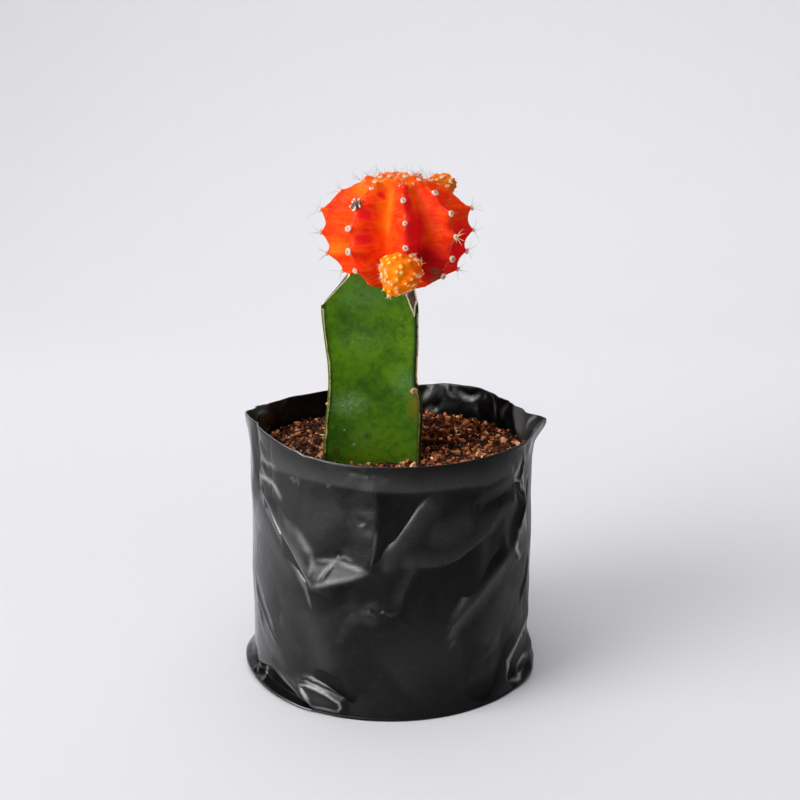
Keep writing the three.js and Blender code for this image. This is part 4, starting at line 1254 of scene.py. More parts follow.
def felt_material(name, pale, core):
    surface = Surface(name, Roughness=0.95)
    place = surface.millimetres()
    fuzz = surface.noise(place, 3.5, 3.0, 0.7)
    soft = surface.blend(fuzz, tuple(0.82 * each for each in pale), pale)
    colour = surface.blend(surface.value("core"), soft, core)
    return surface.finish(colour, normal=surface.bump(fuzz, 0.8, 0.25))


def spine_material():
    surface = Surface("spines", Roughness=0.45)
    along = surface.value("along") + surface.value("tone") * 0.5 - 0.2
    stops = [
        (0.0, (0.70, 0.50, 0.28)),
        (0.35, (0.42, 0.30, 0.19)),
        (0.7, (0.17, 0.12, 0.10)),
        (1.0, (0.07, 0.05, 0.05)),
    ]
    return surface.finish(surface.ramp(along, stops))


# Head

HEAD_CENTRE = np.array([2.3, -2.5, 152.2])
HEAD_RADIUS = 25.4
HEAD_RISE = 19.7  # from its centre to its crown
HEAD_DROP = 18.0  # from its centre to its foot
RIB_TURNS = np.array([5.5, 47.5, 93, 138, 183, 228, 274, 321])
RIBS = len(RIB_TURNS)
COLUMNS_PER_RIB = 40
HEAD_ROWS = 176
VALLEY = 0.61  # radius of a valley, as a share of the radius at a crest
VALLEY_SKEW = 3.5  # degrees from halfway between two crests to the valley
NOTCH = 2.2  # depth of the notches between the areoles of a rib
CROWN_DIP = 1.3
AREOLE_PITCH = 22.5
FIRST_AREOLES = np.array([45, 39, 41, 40, 46, 37, 41.5, 52])  # polar angle of the first below the crown
LOWEST_AREOLE = 136
CROWN_KNOBS = 32
# How much fuller than an even ball the head is at its right and left: polar angles, and mm at them
FULL_RIGHT = [0, 20, 45, 63, 88, 111, 134, 150, 180], [0, 0.5, 1.4, 2.2, -0.2, -0.9, 1.8, 0.6, 0]
FULL_LEFT = [0, 20, 35, 50, 64, 86, 108, 127, 180], [0, 1.2, 3, 4, 3.2, 0.4, -0.1, -0.4, 0]


def notch_depth(rib, polar):
    """0 at an areole, 1 in the notch between two of them."""
    share = ((polar - FIRST_AREOLES[rib]) / AREOLE_PITCH) % 1
    deepest = 0.57
    depth = np.where(share < deepest, share / deepest, (1 - share) / (1 - deepest))
    return (1 - (1 - depth) ** 2) * smooth(polar, 18, 40)


def head_points(turn_share, polar):
    """Places on the head, with their share of the way from a crest to its valley.

    turn_share runs from 0 to 1 right round, a rib for each eighth, and polar in degrees from the crown.
    """
    rib = np.floor(turn_share * RIBS).astype(int) % RIBS
    across = (turn_share * RIBS % 1) * 2
    following = (rib + 1) % RIBS
    leaving = across <= 1
    half = ((RIB_TURNS[following] - RIB_TURNS[rib]) % 360) / 2
    span = np.radians(np.where(leaving, half + VALLEY_SKEW, half - VALLEY_SKEW))
    share = np.where(leaving, across, 2 - across)
    owner = np.where(leaving, rib, following)
    from_crest = share * span
    fall = np.sin(0.5 * math.pi * share)
    flank = 1 - (1 - VALLEY) * (0.6 * fall**2 + 0.4 * fall)
    blunt = 0.3 * np.exp(-((share * 12) ** 2))
    notch = NOTCH * notch_depth(owner, polar) * (1 - share) ** 1.6
    lines = np.stack([share * 0.7 + owner * 5.0, polar / 2.4, 0 * share], axis=-1)
    wrinkles = 0.4 * grain(lines, 1.0) * np.sin(math.pi * np.clip(share, 0, 1)) ** 0.6
    around = np.radians(polar)
    turn = RIB_TURNS[rib] + np.where(leaving, np.degrees(from_crest), 2 * half - np.degrees(from_crest))
    full = hump(turn, 86, 32) * np.interp(polar, *FULL_RIGHT)
    full = full + hump(turn, 274, 34) * np.interp(polar, *FULL_LEFT)
    radius = ((HEAD_RADIUS + full) * flank + wrinkles - blunt - notch) * np.sin(around)
    rise = np.where(polar < 90, HEAD_RISE, HEAD_DROP)
    height = rise * np.cos(around) - CROWN_DIP * np.exp(-((polar / 18) ** 2))
    return place_around(turn, radius, height) + HEAD_CENTRE, share, turn


def areole_angles(rib):
    """Polar angles of the areoles on a rib, with two crowded ones above the first full one."""
    first = FIRST_AREOLES[rib]
    below = [first + number * AREOLE_PITCH for number in range(7)]
    return [angle for angle in [first * 0.6, first * 0.36, *below] if angle < LOWEST_AREOLE]


def crown_knobs():
    """The small knobs crowded round the crown, each with its way out."""
    draw = np.random.default_rng(8)
    knobs = []
    for number in range(CROWN_KNOBS):
        polar = 4 + 31 * math.sqrt(number / CROWN_KNOBS) + draw.uniform(-1.5, 1.5)
        share = (number * 0.381966 + draw.uniform(-0.01, 0.01)) % 1
        point, _, _ = head_points(np.array(share), np.array(float(polar)))
        if not near_offset(point):
            knobs.append((point, unit(point - HEAD_CENTRE + np.array([0, 0, 8]))))
    return knobs


# Patches of colour on the head: turn and polar angle of the middle, and reach in degrees both ways. The
# crimson patches are partly the red of the flesh and partly painted shade on the flanks away from the light;
# the deep ones are painted shade low on the head.
PATCHES = {
    "crimson": [
        (11, 52, 6, 22), (15, 74, 12, 24), (18, 92, 16, 24), (27, 108, 20, 26), (40, 122, 22, 24),
        (-33, 64, 7, 6), (-31, 86, 8, 6), (-24, 40, 7, 5), (58, 98, 16, 34), (64, 116, 20, 26),
        (52, 62, 8, 14), (27, 72, 9, 26), (86, 104, 22, 36), (150, 90, 22, 34), (240, 70, 16, 26),
        (196, 110, 16, 20),
    ],
    "golden": [
        (0, 2, 360, 30), (-36, 24, 16, 20), (-15, 44, 12, 24), (-15, 66, 9, 18), (60, 26, 18, 14),
        (200, 34, 20, 20), (290, 30, 18, 22), (120, 34, 18, 20), (-76, 100, 10, 12),
    ],
    "deep": [(32, 110, 20, 16), (46, 122, 22, 18), (66, 118, 16, 24), (150, 120, 20, 16), (262, 118, 18, 14)],
    "scab": [(43, 122, 6, 6), (46, 131, 7, 6)],
}


def inside_patches(turn, polar, places):
    """1 inside the patches and 0 outside them, with soft edges."""
    total = np.zeros(np.shape(turn))
    for middle_turn, middle_polar, reach_turn, reach_polar in places:
        away = np.hypot(turn_between(turn, middle_turn) / reach_turn, (polar - middle_polar) / reach_polar)
        total = np.maximum(total, 1 - smooth(away, 0.35, 1.15))
    return total


def flesh_material(settings):
    """Orange to scarlet flesh, with streaks across its ribs, patches of red, gold and brown, and painted shade
    and highlights.
    """
    surface = Surface(
        "head_skin",
        IOR=1.45,
        Specular_IOR_Level=0.015,
        Subsurface_Weight=0.08,
        Subsurface_Radius=(2.2 * MM, 0.7 * MM, 0.3 * MM),
        Subsurface_Scale=1.0,
    )
    place = surface.millimetres()
    soft = surface.noise(place, 0.22, 3.0)
    grainy = surface.noise(place, 1.1, 4.0, 0.6)
    flank = surface.add("UVMap", {"uv_map": "flank"})
    streaks = surface.noise(flank, 1.0, 3.0, 0.55)
    to_valley = surface.value("valley")
    mottle = surface.noise(place, 0.5, 5.0, 0.65)
    tone = (soft * 0.5 + mottle * 0.5).step(0.4, 0.6)
    colour = surface.blend(tone, tuple(settings.scarlet), tuple(settings.orange))
    valley = to_valley.step(0.35, 1.0) * (0.4 + mottle * 0.5)
    colour = surface.blend(valley, colour, tuple(settings.valley))
    colour = surface.blend(surface.value("golden") * 0.62, colour, tuple(settings.golden))
    # deep red of the flesh, partly painted shade on the flanks that face away from the light
    crimson = surface.value("crimson") * (0.6 + mottle * 0.7)
    colour = surface.blend(crimson, colour, tuple(settings.crimson))
    # painted shade: a darker red low on the head
    colour = surface.blend(surface.value("deep") * (0.5 + mottle * 0.5), colour, (0.36, 0.003, 0.006))
    pale = streaks.step(0.5, 0.75) * (1 - to_valley.step(0.35, 0.85)) * to_valley.step(0.0, 0.12)
    colour = surface.blend(pale * (1 - crimson * 0.8) * 0.34, colour, (0.93, 0.20, 0.065))
    dark = (1 - streaks.step(0.3, 0.46)) * (1 - to_valley.step(0.5, 0.95))
    colour = surface.blend(dark * 0.25, colour, (0.80, 0.014, 0.005))
    # painted highlight: a paler pink line along the crests
    crest = (1 - to_valley.step(0.0, 0.075)) * soft.step(0.42, 0.6)
    colour = surface.blend(crest * 0.5 * grainy.step(0.35, 0.6), colour, (0.95, 0.28, 0.17))
    scab = surface.value("scab") * grainy.step(0.35, 0.6)
    colour = surface.blend(scab, colour, (0.17, 0.07, 0.03))
    relief = surface.bump(streaks, 0.5, 0.3)
    relief = surface.bump(grainy, 0.4, 0.15, relief)
    roughness = 0.5 + grainy * 0.14 + scab * 0.2
    return surface.finish(colour, roughness, relief)


class HeadSettings(bpy.types.PropertyGroup):
    orange: FloatVectorProperty(
        name="Orange", description="Main colour of the flesh", subtype="COLOR", default=(0.93, 0.070, 0.004)
    )
    scarlet: FloatVectorProperty(
        name="Scarlet", description="Redder parts of the flesh", subtype="COLOR", default=(0.87, 0.026, 0.004)
    )
    valley: FloatVectorProperty(
        name="Valleys", description="Colour between the ribs", subtype="COLOR", default=(0.94, 0.100, 0.004)
    )
    golden: FloatVectorProperty(
        name="Golden", description="Yellower parts by the crown", subtype="COLOR", default=(0.95, 0.22, 0.006)
    )
    crimson: FloatVectorProperty(
        name="Crimson", description="Deep red patches", subtype="COLOR", default=(0.84, 0.007, 0.013)
    )
    spine_length: FloatProperty(
        name="Spines", description="Length of a spine", default=5.4 * MM, unit="LENGTH"
    )
    spines: IntProperty(name="Spines each", description="Spines on one areole", default=4, min=1, max=12)


class CACTUS_OT_head(bpy.types.Operator):
    """Model the orange ribbed head, with its felted areoles and spines"""

    bl_idname = "cactus.head"
    bl_label = "Head"

    def execute(self, context):
        settings = context.scene.cactus_head
        columns = RIBS * COLUMNS_PER_RIB
        share, polar = np.meshgrid(np.arange(columns) / columns, np.linspace(180, 0, HEAD_ROWS + 1))
        points, _, _ = head_points(share, polar)
        middle = HEAD_CENTRE + np.array([0, 0, -2])
        outward = unit(points - middle)
        lumps = 0.24 * grain(points, 3.4, 3.7) + 0.12 * grain(points, 1.5, 8.8)
        points = points + outward * lumps[..., None]
        for knob, _ in crown_knobs():
            away = np.linalg.norm(points - knob, axis=-1)
            points = points + outward * (1.8 * np.exp(-((away / 1.4) ** 2)))[..., None]
        points[0], points[-1] = points[0].mean(0), points[-1].mean(0)
        head = rolled_sheet("head_flesh", points)
        self.keep_values(head)
        finish_piece(head, flesh_material(settings), ["scion"])
        self.add_areoles(settings)
        return {"FINISHED"}

    def keep_values(self, head):
        """Works out each point's place on its rib, for the colours to follow."""
        away = points_of(head) - HEAD_CENTRE
        turn = np.degrees(np.arctan2(away[:, 0], -away[:, 1]))
        flat = np.hypot(away[:, 0], away[:, 1])
        rise = np.where(away[:, 2] > 0, HEAD_RISE, HEAD_DROP)
        polar = np.degrees(np.arctan2(flat / (HEAD_RADIUS * 0.8), away[:, 2] / rise))
        valley = np.ones(len(turn))
        for number, rib in enumerate(RIB_TURNS):
            for side, other in ((1, RIB_TURNS[(number + 1) % RIBS]), (-1, RIB_TURNS[number - 1])):
                half = abs(turn_between(other, rib)) / 2
                span = half + VALLEY_SKEW * side
                past = turn_between(turn, rib) * side
                inside = (past >= 0) & (past <= span)
                valley = np.where(inside, np.minimum(valley, past / span), valley)
        store(head, "valley", valley)
        for name, places in PATCHES.items():
            store(head, name, inside_patches(turn, polar, places))
        flank = head.data.uv_layers.new(name="flank")
        corners = np.empty(len(head.data.loops), int)
        head.data.loops.foreach_get("vertex_index", corners)
        spread = np.stack([valley * 1.6 + np.round(turn / 45), polar * 0.36], axis=-1)[corners]
        flank.data.foreach_set("uv", spread.ravel())

    def add_areoles(self, settings):
        draw = np.random.default_rng(5)
        spots, ways, sizes, counts, reaches = [], [], [], [], []
        for rib, rib_turn in enumerate(RIB_TURNS):
            for polar in areole_angles(rib):
                point, _, _ = head_points(np.array(rib / RIBS), np.array(float(polar)))
                under_remnant = rib == 7 and 45 < polar < 60
                if near_offset(point) or under_remnant:
                    continue
                in_front = abs(turn_between(rib_turn, 5)) < 60 and polar > 35
                spots.append(point)
                ways.append(unit(point - HEAD_CENTRE + np.array([0, 0, 3])))
                sizes.append((0.85 if polar < 32 else 1.03) * mix(0.75, 1.15, draw.random()))
                counts.append(int(draw.integers(1, 4)) if in_front else settings.spines)
                reaches.append(0.4 if in_front else 1.0)
        for point, way in crown_knobs():
            spots.append(point + way * 1.6)
            ways.append(way)
            sizes.append(mix(0.35, 1.0, draw.random() ** 1.5))
            counts.append(int(draw.integers(0, 3)))
            reaches.append(0.7 if draw.random() < 0.5 else 0.35)
        rolls = draw.uniform(0, 6, len(spots))
        sunk = [spot - way * 0.1 for spot, way in zip(spots, ways)]
        pads = areole_pads("head_areoles", sunk, ways, sizes, rolls=rolls)
        finish_piece(pads, felt_material("head_felt", (0.84, 0.61, 0.44), (0.16, 0.06, 0.03)))
        length = settings.spine_length / MM
        spines = spine_fans("head_spines", spots, ways, counts, reaches, length, 0.075, 58, draw)
        finish_piece(spines, spine_material())
        spot, _, _ = head_points(np.array(1 / RIBS), np.array(84.0))
        way = unit(spot - HEAD_CENTRE) + np.array([0.6, 0, 0.1])
        fan = spine_fans("head_pale_spines", [spot], [way], [6], [0.6], 7.0, 0.2, 50, draw)
        finish_piece(fan, spine_material())
        self.add_remnant()

    def add_remnant(self):
        """The dried remnant of a flower, at the top areole of the rib left of the middle."""
        point, _, _ = head_points(np.array(6.97 / RIBS), np.array(51.5))
        way = unit(point - HEAD_CENTRE)
        draw = np.random.default_rng(77)
        across = facing(way)
        placements, tones = [], []
        crumbs = 16
        for number in range(crumbs):
            turn = number * 2.4
            spread = 0.5 + 1.5 * math.sqrt(number / crumbs)
            shift = across @ [math.cos(turn) * spread, math.sin(turn) * spread, draw.uniform(0.1, 0.7)]
            size = np.array([1.6, 0.7, 0.8]) * draw.uniform(0.7, 1.2)
            tilted = facing(unit(way + draw.normal(0, 0.5, 3)), draw.random() * 6)
            placements.append(placement(point + shift, tilted, size))
            tones.append(draw.uniform(0.7, 1.0) if number > 8 else 0.25 * draw.random())
        model = crumb_model("head_remnant_model", 2, 4)
        remnant = copies("head_remnant", model, placements, tone=tones)
        surface = Surface("dried_flower", Roughness=0.7)
        stops = [(0.0, (0.012, 0.006, 0.005)), (0.3, (0.10, 0.035, 0.015)), (1.0, (0.85, 0.62, 0.42))]
        dried = surface.finish(surface.ramp(surface.value("tone"), stops))
        finish_piece(remnant, dried, smooth_angle=40)


# Offsets

# The buds: their shape and knobs, and their large areoles as places across and up their front, with radii
OFFSETS = {
    "front": {
        "centre": (3.4, -24.4, 143.6),
        "size": (6.6, 5.6, 6.9),
        "outward": (0, -1, -0.15),
        "knobs": 84,
        "rise": 0.9,
        "slant": 2.2,
        "seed": 11,
        "large": [
            (-0.85, 0.45, 0.7), (-0.72, 0.25, 0.6), (-0.93, 0.0, 0.8), (-0.6, -0.3, 0.6),
            (-0.75, -0.15, 0.5), (0.45, 0.85, 0.8), (0.6, 0.7, 0.6), (0.72, 0.0, 0.65),
            (-0.15, -0.55, 0.5), (-0.3, -0.94, 0.6), (0.4, -0.85, 0.8), (0.55, -0.75, 0.6),
        ],
    },
    "crown": {
        "centre": (16.4, 3.0, 167.6),
        "size": (5.0, 4.8, 3.5),
        "outward": (0.55, 0.1, 0.8),
        "knobs": 40,
        "rise": 1.0,
        "slant": 0,
        "seed": 23,
        "large": [
            (-0.55, 0.6, 0.6), (0.05, 0.8, 0.7), (0.55, 0.45, 0.6), (-0.2, 0.25, 0.45),
            (0.35, 0.05, 0.55), (-0.8, 0.15, 0.5),
        ],
    },
}


def near_offset(point):
    """Whether an areole is one that a bud has grown over, or whose spines would reach the bud."""
    return any(
        np.linalg.norm((point - np.array(each["centre"])) / np.array(each["size"])) < 1.34
        for each in OFFSETS.values()
    )


def spread_directions(count):
    """Directions spread evenly over a ball, in a sunflower's spiral."""
    number = np.arange(count)
    golden = math.pi * (3 - math.sqrt(5))
    z = 1 - (2 * number + 1) / count
    radius = np.sqrt(1 - z * z)
    return np.stack([radius * np.cos(golden * number), radius * np.sin(golden * number), z], axis=-1)


def bud_knobs(bud):
    """Directions of a bud's knobs, spread unevenly over it."""
    draw = np.random.default_rng(bud["seed"] + 1)
    return unit(spread_directions(bud["knobs"]) + draw.normal(0, 0.11, (bud["knobs"], 3)))


def bud_points(bud, directions):
    """Places on a knobbly bud, with 1 at the tip of a knob and 0 well away from one."""
    knobs = bud_knobs(bud)
    away = np.arccos(np.clip((directions @ knobs.T).max(-1), -1, 1))
    width = 1.5 / math.sqrt(bud["knobs"])
    knob = np.exp(-((away / width) ** 2))
    rise = bud["rise"] * (knob - 0.35) + 0.5 * grain(directions * 4, 3.0, bud["seed"])
    points = directions * np.array(bud["size"]) + directions * rise[..., None]
    x, z = directions[..., 0], directions[..., 2]
    below = np.maximum(0, -z)
    broader = 1 - 0.12 * below + 0.5 * (x * z) ** 2 * (z > 0)
    points[..., 0] = points[..., 0] * broader - bud["slant"] * below**2
    points = points + np.array(bud["centre"])
    return points, np.exp(-((away / (0.5 * width)) ** 2))


def bud_material(name, light, deep, tip, spread):
    """Knobs of a light colour with pale tips over deeper hollows, and the deep colour towards +X as painted
    shade.
    """
    surface = Surface(
        name,
        IOR=1.45,
        Specular_IOR_Level=0.02,
        Subsurface_Weight=0.1,
        Subsurface_Radius=(2.0 * MM, 0.9 * MM, 0.3 * MM),
        Subsurface_Scale=1.0,
    )
    place = surface.millimetres()
    grainy = surface.noise(place, 1.3, 4.0, 0.6)
    # painted shade: the deep colour on the side away from the light
    painted_far_shade = surface.along(place, 0).step(*spread)
    colour = surface.blend(painted_far_shade * 0.8 + grainy * 0.2, light, deep)
    colour = surface.blend(surface.value("tip").step(0.3, 0.6) * (0.6 + grainy * 0.8), colour, tip)
    return surface.finish(colour, 0.42 + grainy * 0.12, surface.bump(grainy, 0.35, 0.15))


class OffsetSettings(bpy.types.PropertyGroup):
    golden: FloatVectorProperty(
        name="Golden", description="Lit side of the front bud", subtype="COLOR", default=(0.93, 0.225, 0.002)
    )
    amber: FloatVectorProperty(
        name="Amber", description="Far side of the front bud", subtype="COLOR", default=(0.85, 0.085, 0.004)
    )
    ochre: FloatVectorProperty(
        name="Ochre", description="Colour of the crown bud", subtype="COLOR", default=(0.75, 0.17, 0.008)
    )
    tip: FloatVectorProperty(
        name="Tips", description="Colour of the knobs' tips", subtype="COLOR", default=(1.0, 0.56, 0.12)
    )


class CACTUS_OT_offsets(bpy.types.Operator):
    """Model the two knobbly buds on the head"""

    bl_idname = "cactus.offsets"
    bl_label = "Buds"

    def execute(self, context):
        settings = context.scene.cactus_offsets
        # each bud's lit colour, the painted shade colour of its far side, and the span of x where the shade
        # comes in
        colours = {
            "front": (tuple(settings.golden), tuple(settings.amber), (1, 10)),
            "crown": (tuple(settings.ochre), (0.55, 0.10, 0.01), (14, 24)),
        }
        slots = {"front": "yellow_skin", "crown": "ochre_skin"}
        for key, bud in OFFSETS.items():
            light, deep, spread = colours[key]
            material = bud_material(f"{key}_bud_skin", light, deep, tuple(settings.tip), spread)
            self.add_bud(key, bud, material, slots[key])
        return {"FINISHED"}

    def add_bud(self, key, bud, material, slot):
        deselect()
        bpy.ops.mesh.primitive_ico_sphere_add(subdivisions=6, radius=MM)
        piece = rename_new(f"{key}_bud")
        points, tip = bud_points(bud, unit(points_of(piece)))
        move_points(piece, points)
        store(piece, "tip", tip)
        finish_piece(piece, material, [f"offset_{key}"])
        draw = np.random.default_rng(bud["seed"])
        outward = unit(np.array(bud["outward"], float))
        knobs = [knob for knob in bud_knobs(bud) if knob @ outward > -0.2][::2]
        spots = [bud_points(bud, knob[None, :])[0][0] for knob in knobs]
        sizes = draw.uniform(0.12, 0.24, len(spots))
        for across, up, size in bud["large"]:
            knob = np.array([across, -math.sqrt(max(0, 1 - across**2 - up**2)), up])
            knobs.append(knob)
            spots.append(bud_points(bud, knob[None, :])[0][0])
            sizes = np.append(sizes, size)
        pads = areole_pads(f"{key}_bud_areoles", spots, knobs, sizes, ring=0.2)
        finish_piece(pads, felt_material(f"{key}_bud_felt", (0.98, 0.64, 0.32), (0.85, 0.38, 0.12)))
        large = np.arange(len(spots)) >= len(spots) - len(bud["large"])
        counts = np.where(large, 5, draw.integers(1, 3, len(spots)))
        reaches = np.where(large, 0.55, 0.4)
        fuzz = spine_fans(f"{key}_bud_spines", spots, knobs, counts, reaches, 3.7, 0.11, 50, draw)
        finish_piece(fuzz, spine_material())


# Potting mix

def mix_points():
    """The body of the mix: a floor, a side that follows the film, a rough top, and the hole of the stock."""
    angle = turn_between(np.arange(240) / 240 * 360.0, 0)
    rows = [place_around(angle, 0.0, FLOOR_LEVEL), place_around(angle, 44.0, FLOOR_LEVEL)]
    for level in (2.5, *np.arange(6, 76, 3.5), SOIL_LEVEL - 0.6):
        rows.append(place_around(angle, mix_wall(angle, level), level))
    outer = rows[-1][:, :2]
    section = section_at_angles(angle, SOIL_LEVEL)
    for share in np.linspace(0, 1, 74)[1:]:  # over the top, from the film to the stock
        flat = mix(outer, section, share)
        level = mix_level(flat) - 0.3 * (1 - smooth(share, 0, 0.04)) - 0.4 * smooth(share, 0.93, 1)
        rows.append(np.column_stack([flat, level]))
    for level in (70.0, 60.0, 50.0, STOCK_FOOT - 0.4):
        flat = section_at_angles(angle, max(level, STOCK_FOOT))
        rows.append(np.column_stack([flat, np.full(len(flat), level)]))
    rows.append(np.tile([*STOCK_AXIS, STOCK_FOOT - 0.4], (len(angle), 1)))
    return np.array(rows)


def mix_level(flat):
    """Height of the rough top of the mix."""
    bumps = np.column_stack([flat, np.zeros(len(flat))])
    rough = 1.2 * grain(bumps, 7.0, 2.2) + 0.8 * grain(bumps, 2.6, 9.1) + 0.4 * grain(bumps, 1.2, 4.4)
    dip = np.exp(-(((flat[:, 0] + 5) / 15) ** 2) - ((flat[:, 1] + 17) / 6) ** 2)  # in front of the stock
    return SOIL_LEVEL - 0.9 + rough - 2.6 * dip


def mix_wall(angle, level):
    """Radius of the side of the mix, inside the film wherever it is creased inwards nearby."""
    near = [(turn, rise) for turn in (-1.6, 0, 1.6) for rise in (-2.0, -1.0, 0, 1.0, 2.0)]
    inner = np.min([wall_radius(angle + turn, max(level + rise, 0)) for turn, rise in near], axis=0) - 0.7
    pocket = mix(inner, 45.4, hollow_share(angle) * (1 - smooth(level, 10, 13)))
    return np.minimum(inner, pocket)


def section_at_angles(angle, height, grow=0.35):
    """The stock's outline at a height, seen at even angles round its own axis."""
    away = stock_section(height, grow) - STOCK_AXIS
    turns = np.degrees(np.arctan2(away[:, 0], -away[:, 1]))
    order = np.argsort(turns)
    radius = np.interp(turn_between(angle, 0), turns[order], np.hypot(*away.T)[order], period=360)
    flat = place_around(angle, radius, 0.0)[:, :2]
    return STOCK_AXIS + flat


def crumb_model(name, divisions, seed):
    """An angular crumb of about 1 mm across."""
    deselect()
    bpy.ops.mesh.primitive_ico_sphere_add(subdivisions=divisions, radius=0.5 * MM)
    crumb = rename_new(name)
    draw = np.random.default_rng(seed)
    points = points_of(crumb)
    points *= draw.uniform(0.62, 1.3, (len(points), 1))
    move_points(crumb, points)
    return crumb


def scattered(count, draw, reach):
    """Places on top of the mix, where a piece that reaches so far is clear of the film."""
    angle = draw.uniform(-180, 180, count)
    radius = 47.2 * np.sqrt(draw.random(count))
    flat = place_around(angle, radius, 0.0)[:, :2]
    away = flat - STOCK_AXIS
    stem = section_at_angles(np.degrees(np.arctan2(away[:, 0], -away[:, 1])), SOIL_LEVEL)
    clear_stem = np.hypot(*away.T) > np.hypot(*(stem - STOCK_AXIS).T) + 0.5
    level = np.full(count, SOIL_LEVEL)
    clear_film = radius < wall_radius(angle, level) - 0.5 - reach
    flat = flat[clear_stem & clear_film]
    return np.column_stack([flat, mix_level(flat)])


def tumbled(draw):
    """A turn by any angle about any axis."""
    return np.array(Matrix.Rotation(draw.uniform(0, 6.28), 3, draw.normal(size=3)))


def scatter_crumbs(name, model, count, sizes, stretch, seed):
    """Crumbs of many sizes, tumbled every way, each with its own tone."""
    draw = np.random.default_rng(seed)
    places = scattered(count, draw, 0.5 * sizes[1] * max(stretch))
    placements = []
    for place in places:
        size = sizes[0] * (sizes[1] / sizes[0]) ** (draw.random() ** 1.6)
        shape = np.array([1, draw.uniform(0.6, 1), draw.uniform(0.55, 0.9)]) * size * stretch
        lifted = place + [0, 0, draw.uniform(-0.2, 0.75) * size]
        placements.append(placement(lifted, tumbled(draw), shape))
    return copies(name, model, placements, tone=draw.random(len(placements)))


def mix_material(settings, name, bias=None):
    """Coco and peat with painted shadow and light. The bias shifts the tones of crumbs; the body under them
    has none.
    """
    surface = Surface(name, Roughness=0.85, Specular_IOR_Level=0.08)
    place = surface.millimetres()
    grainy = surface.noise(place, 1.4, 4.0, 0.65)
    if bias is None:
        tone = grainy * 0.5
    else:
        patchy = surface.noise(place, 0.16, 2.0)
        # painted shadow right of the stock, and painted light on the left of the mix
        painted_stem_shadow = surface.near(place, (14, 6, SOIL_LEVEL), (19, 24, 20))
        painted_left_light = surface.near(place, (-34, -8, SOIL_LEVEL), (28, 36, 20))
        tone = surface.value("tone") * 0.95 + grainy * 0.5 + patchy * 0.75 + bias
        tone = tone - painted_stem_shadow * 0.16 + painted_left_light * 0.16
    stops = [
        (0.0, (0.008, 0.003, 0.002)),
        (0.3, tuple(settings.dark)),
        (0.58, tuple(settings.brown)),
        (0.82, tuple(settings.tan)),
        (1.0, (0.88, 0.50, 0.30)),
    ]
    return surface.finish(surface.ramp(tone, stops), normal=surface.bump(grainy, 0.7, 0.4))


class MixSettings(bpy.types.PropertyGroup):
    dark: FloatVectorProperty(
        name="Dark", description="Darkest crumbs", subtype="COLOR", default=(0.040, 0.009, 0.003)
    )
    brown: FloatVectorProperty(
        name="Brown", description="Most of the crumbs", subtype="COLOR", default=(0.24, 0.055, 0.013)
    )
    tan: FloatVectorProperty(
        name="Tan", description="Palest crumbs", subtype="COLOR", default=(0.62, 0.21, 0.07)
    )
    fine: IntProperty(name="Fine crumbs", description="How many fine crumbs are strewn", default=7500)
    coarse: IntProperty(name="Coarse crumbs", description="How many coarse crumbs are strewn", default=1500)


class CACTUS_OT_potting_mix(bpy.types.Operator):
    """Model the potting mix, with coarse and fine crumbs, chips and fibres strewn over it"""

    bl_idname = "cactus.potting_mix"
    bl_label = "Potting mix"

    def execute(self, context):
        settings = context.scene.cactus_mix
        body = rolled_sheet("mix_body", mix_points())
        finish_piece(body, mix_material(settings, "mix_dark"), ["potting_mix"])
        fine = mix_material(settings, "mix_fine", -0.72)
        coarse = mix_material(settings, "mix_coarse", -0.56)
        # name, material, divisions, count, least and greatest size, stretch and seed
        crumbs = [
            ("mix_fine_crumbs", fine, 1, settings.fine, (0.6, 1.5), (1, 1, 1), 31),
            ("mix_coarse_crumbs", coarse, 2, settings.coarse, (1.2, 2.5), (1.15, 0.9, 0.9), 32),
            ("mix_chips", coarse, 1, 260, (1.2, 2.2), (2.4, 0.8, 0.5), 33),
        ]
        for name, crumbly, divisions, count, sizes, stretch, seed in crumbs:
            model = crumb_model(name + "_model", divisions, seed)
            piece = scatter_crumbs(name, model, count, sizes, np.array(stretch), seed)
            finish_piece(piece, crumbly, smooth_angle=25)
        draw = np.random.default_rng(34)
        placements = [
            placement(
                place + [0, 0, 0.9],
                facing(unit(np.array([draw.normal(), draw.normal(), draw.uniform(-0.1, 0.35)]))),
                (1, 1, draw.uniform(0.4, 1.2)),
            )
            for place in scattered(200, draw, 5.5)
        ]
        model = spine_model("mix_fibres_model", 5.0, 0.16, bow=0.8)
        fibres = copies("mix_fibres", model, placements, tone=draw.uniform(0.5, 1, len(placements)))
        finish_piece(fibres, coarse)
        return {"FINISHED"}


# Stage

# The paper under and behind the pot: its front edge, its flat run, the radius of its bend, its length, width
PAPER_FRONT = -1200
PAPER_FLAT = 1700
PAPER_BEND = 600
PAPER_LENGTH = 4200
PAPER_WIDTH = 4000

# The camera: the place that it looks at, how many degrees it looks down, its distance, its focal length in
# pixels of a picture of the given width, and the width of its sensor
TARGET = (3.0, 0, 94.9)
ELEVATION = 16.16
DISTANCE = 496
FOCAL_PIXELS = 1453
PICTURE_PIXELS = 800
SENSOR = 36


class StageSettings(bpy.types.PropertyGroup):
    floor: FloatVectorProperty(
        name="Floor", description="Colour of the floor", subtype="COLOR", default=(0.725, 0.718, 0.742)
    )
    key: FloatProperty(name="Window", description="Power of the window's light", default=4.1, unit="POWER")
    sheen: FloatProperty(
        name="Sheen", description="Power of the lights that only show as sheen", default=66.0, unit="POWER"
    )
    overhead: FloatProperty(
        name="Overhead light", description="Power of the large light above", default=6.8, unit="POWER"
    )
    air: FloatProperty(name="Room light", description="Strength of the even light", default=0.36)


def aim(piece, target):
    """Turns a light or a camera towards a place."""
    piece.rotation_euler = (Vector(target) - piece.location).to_track_quat("-Z", "Y").to_euler()


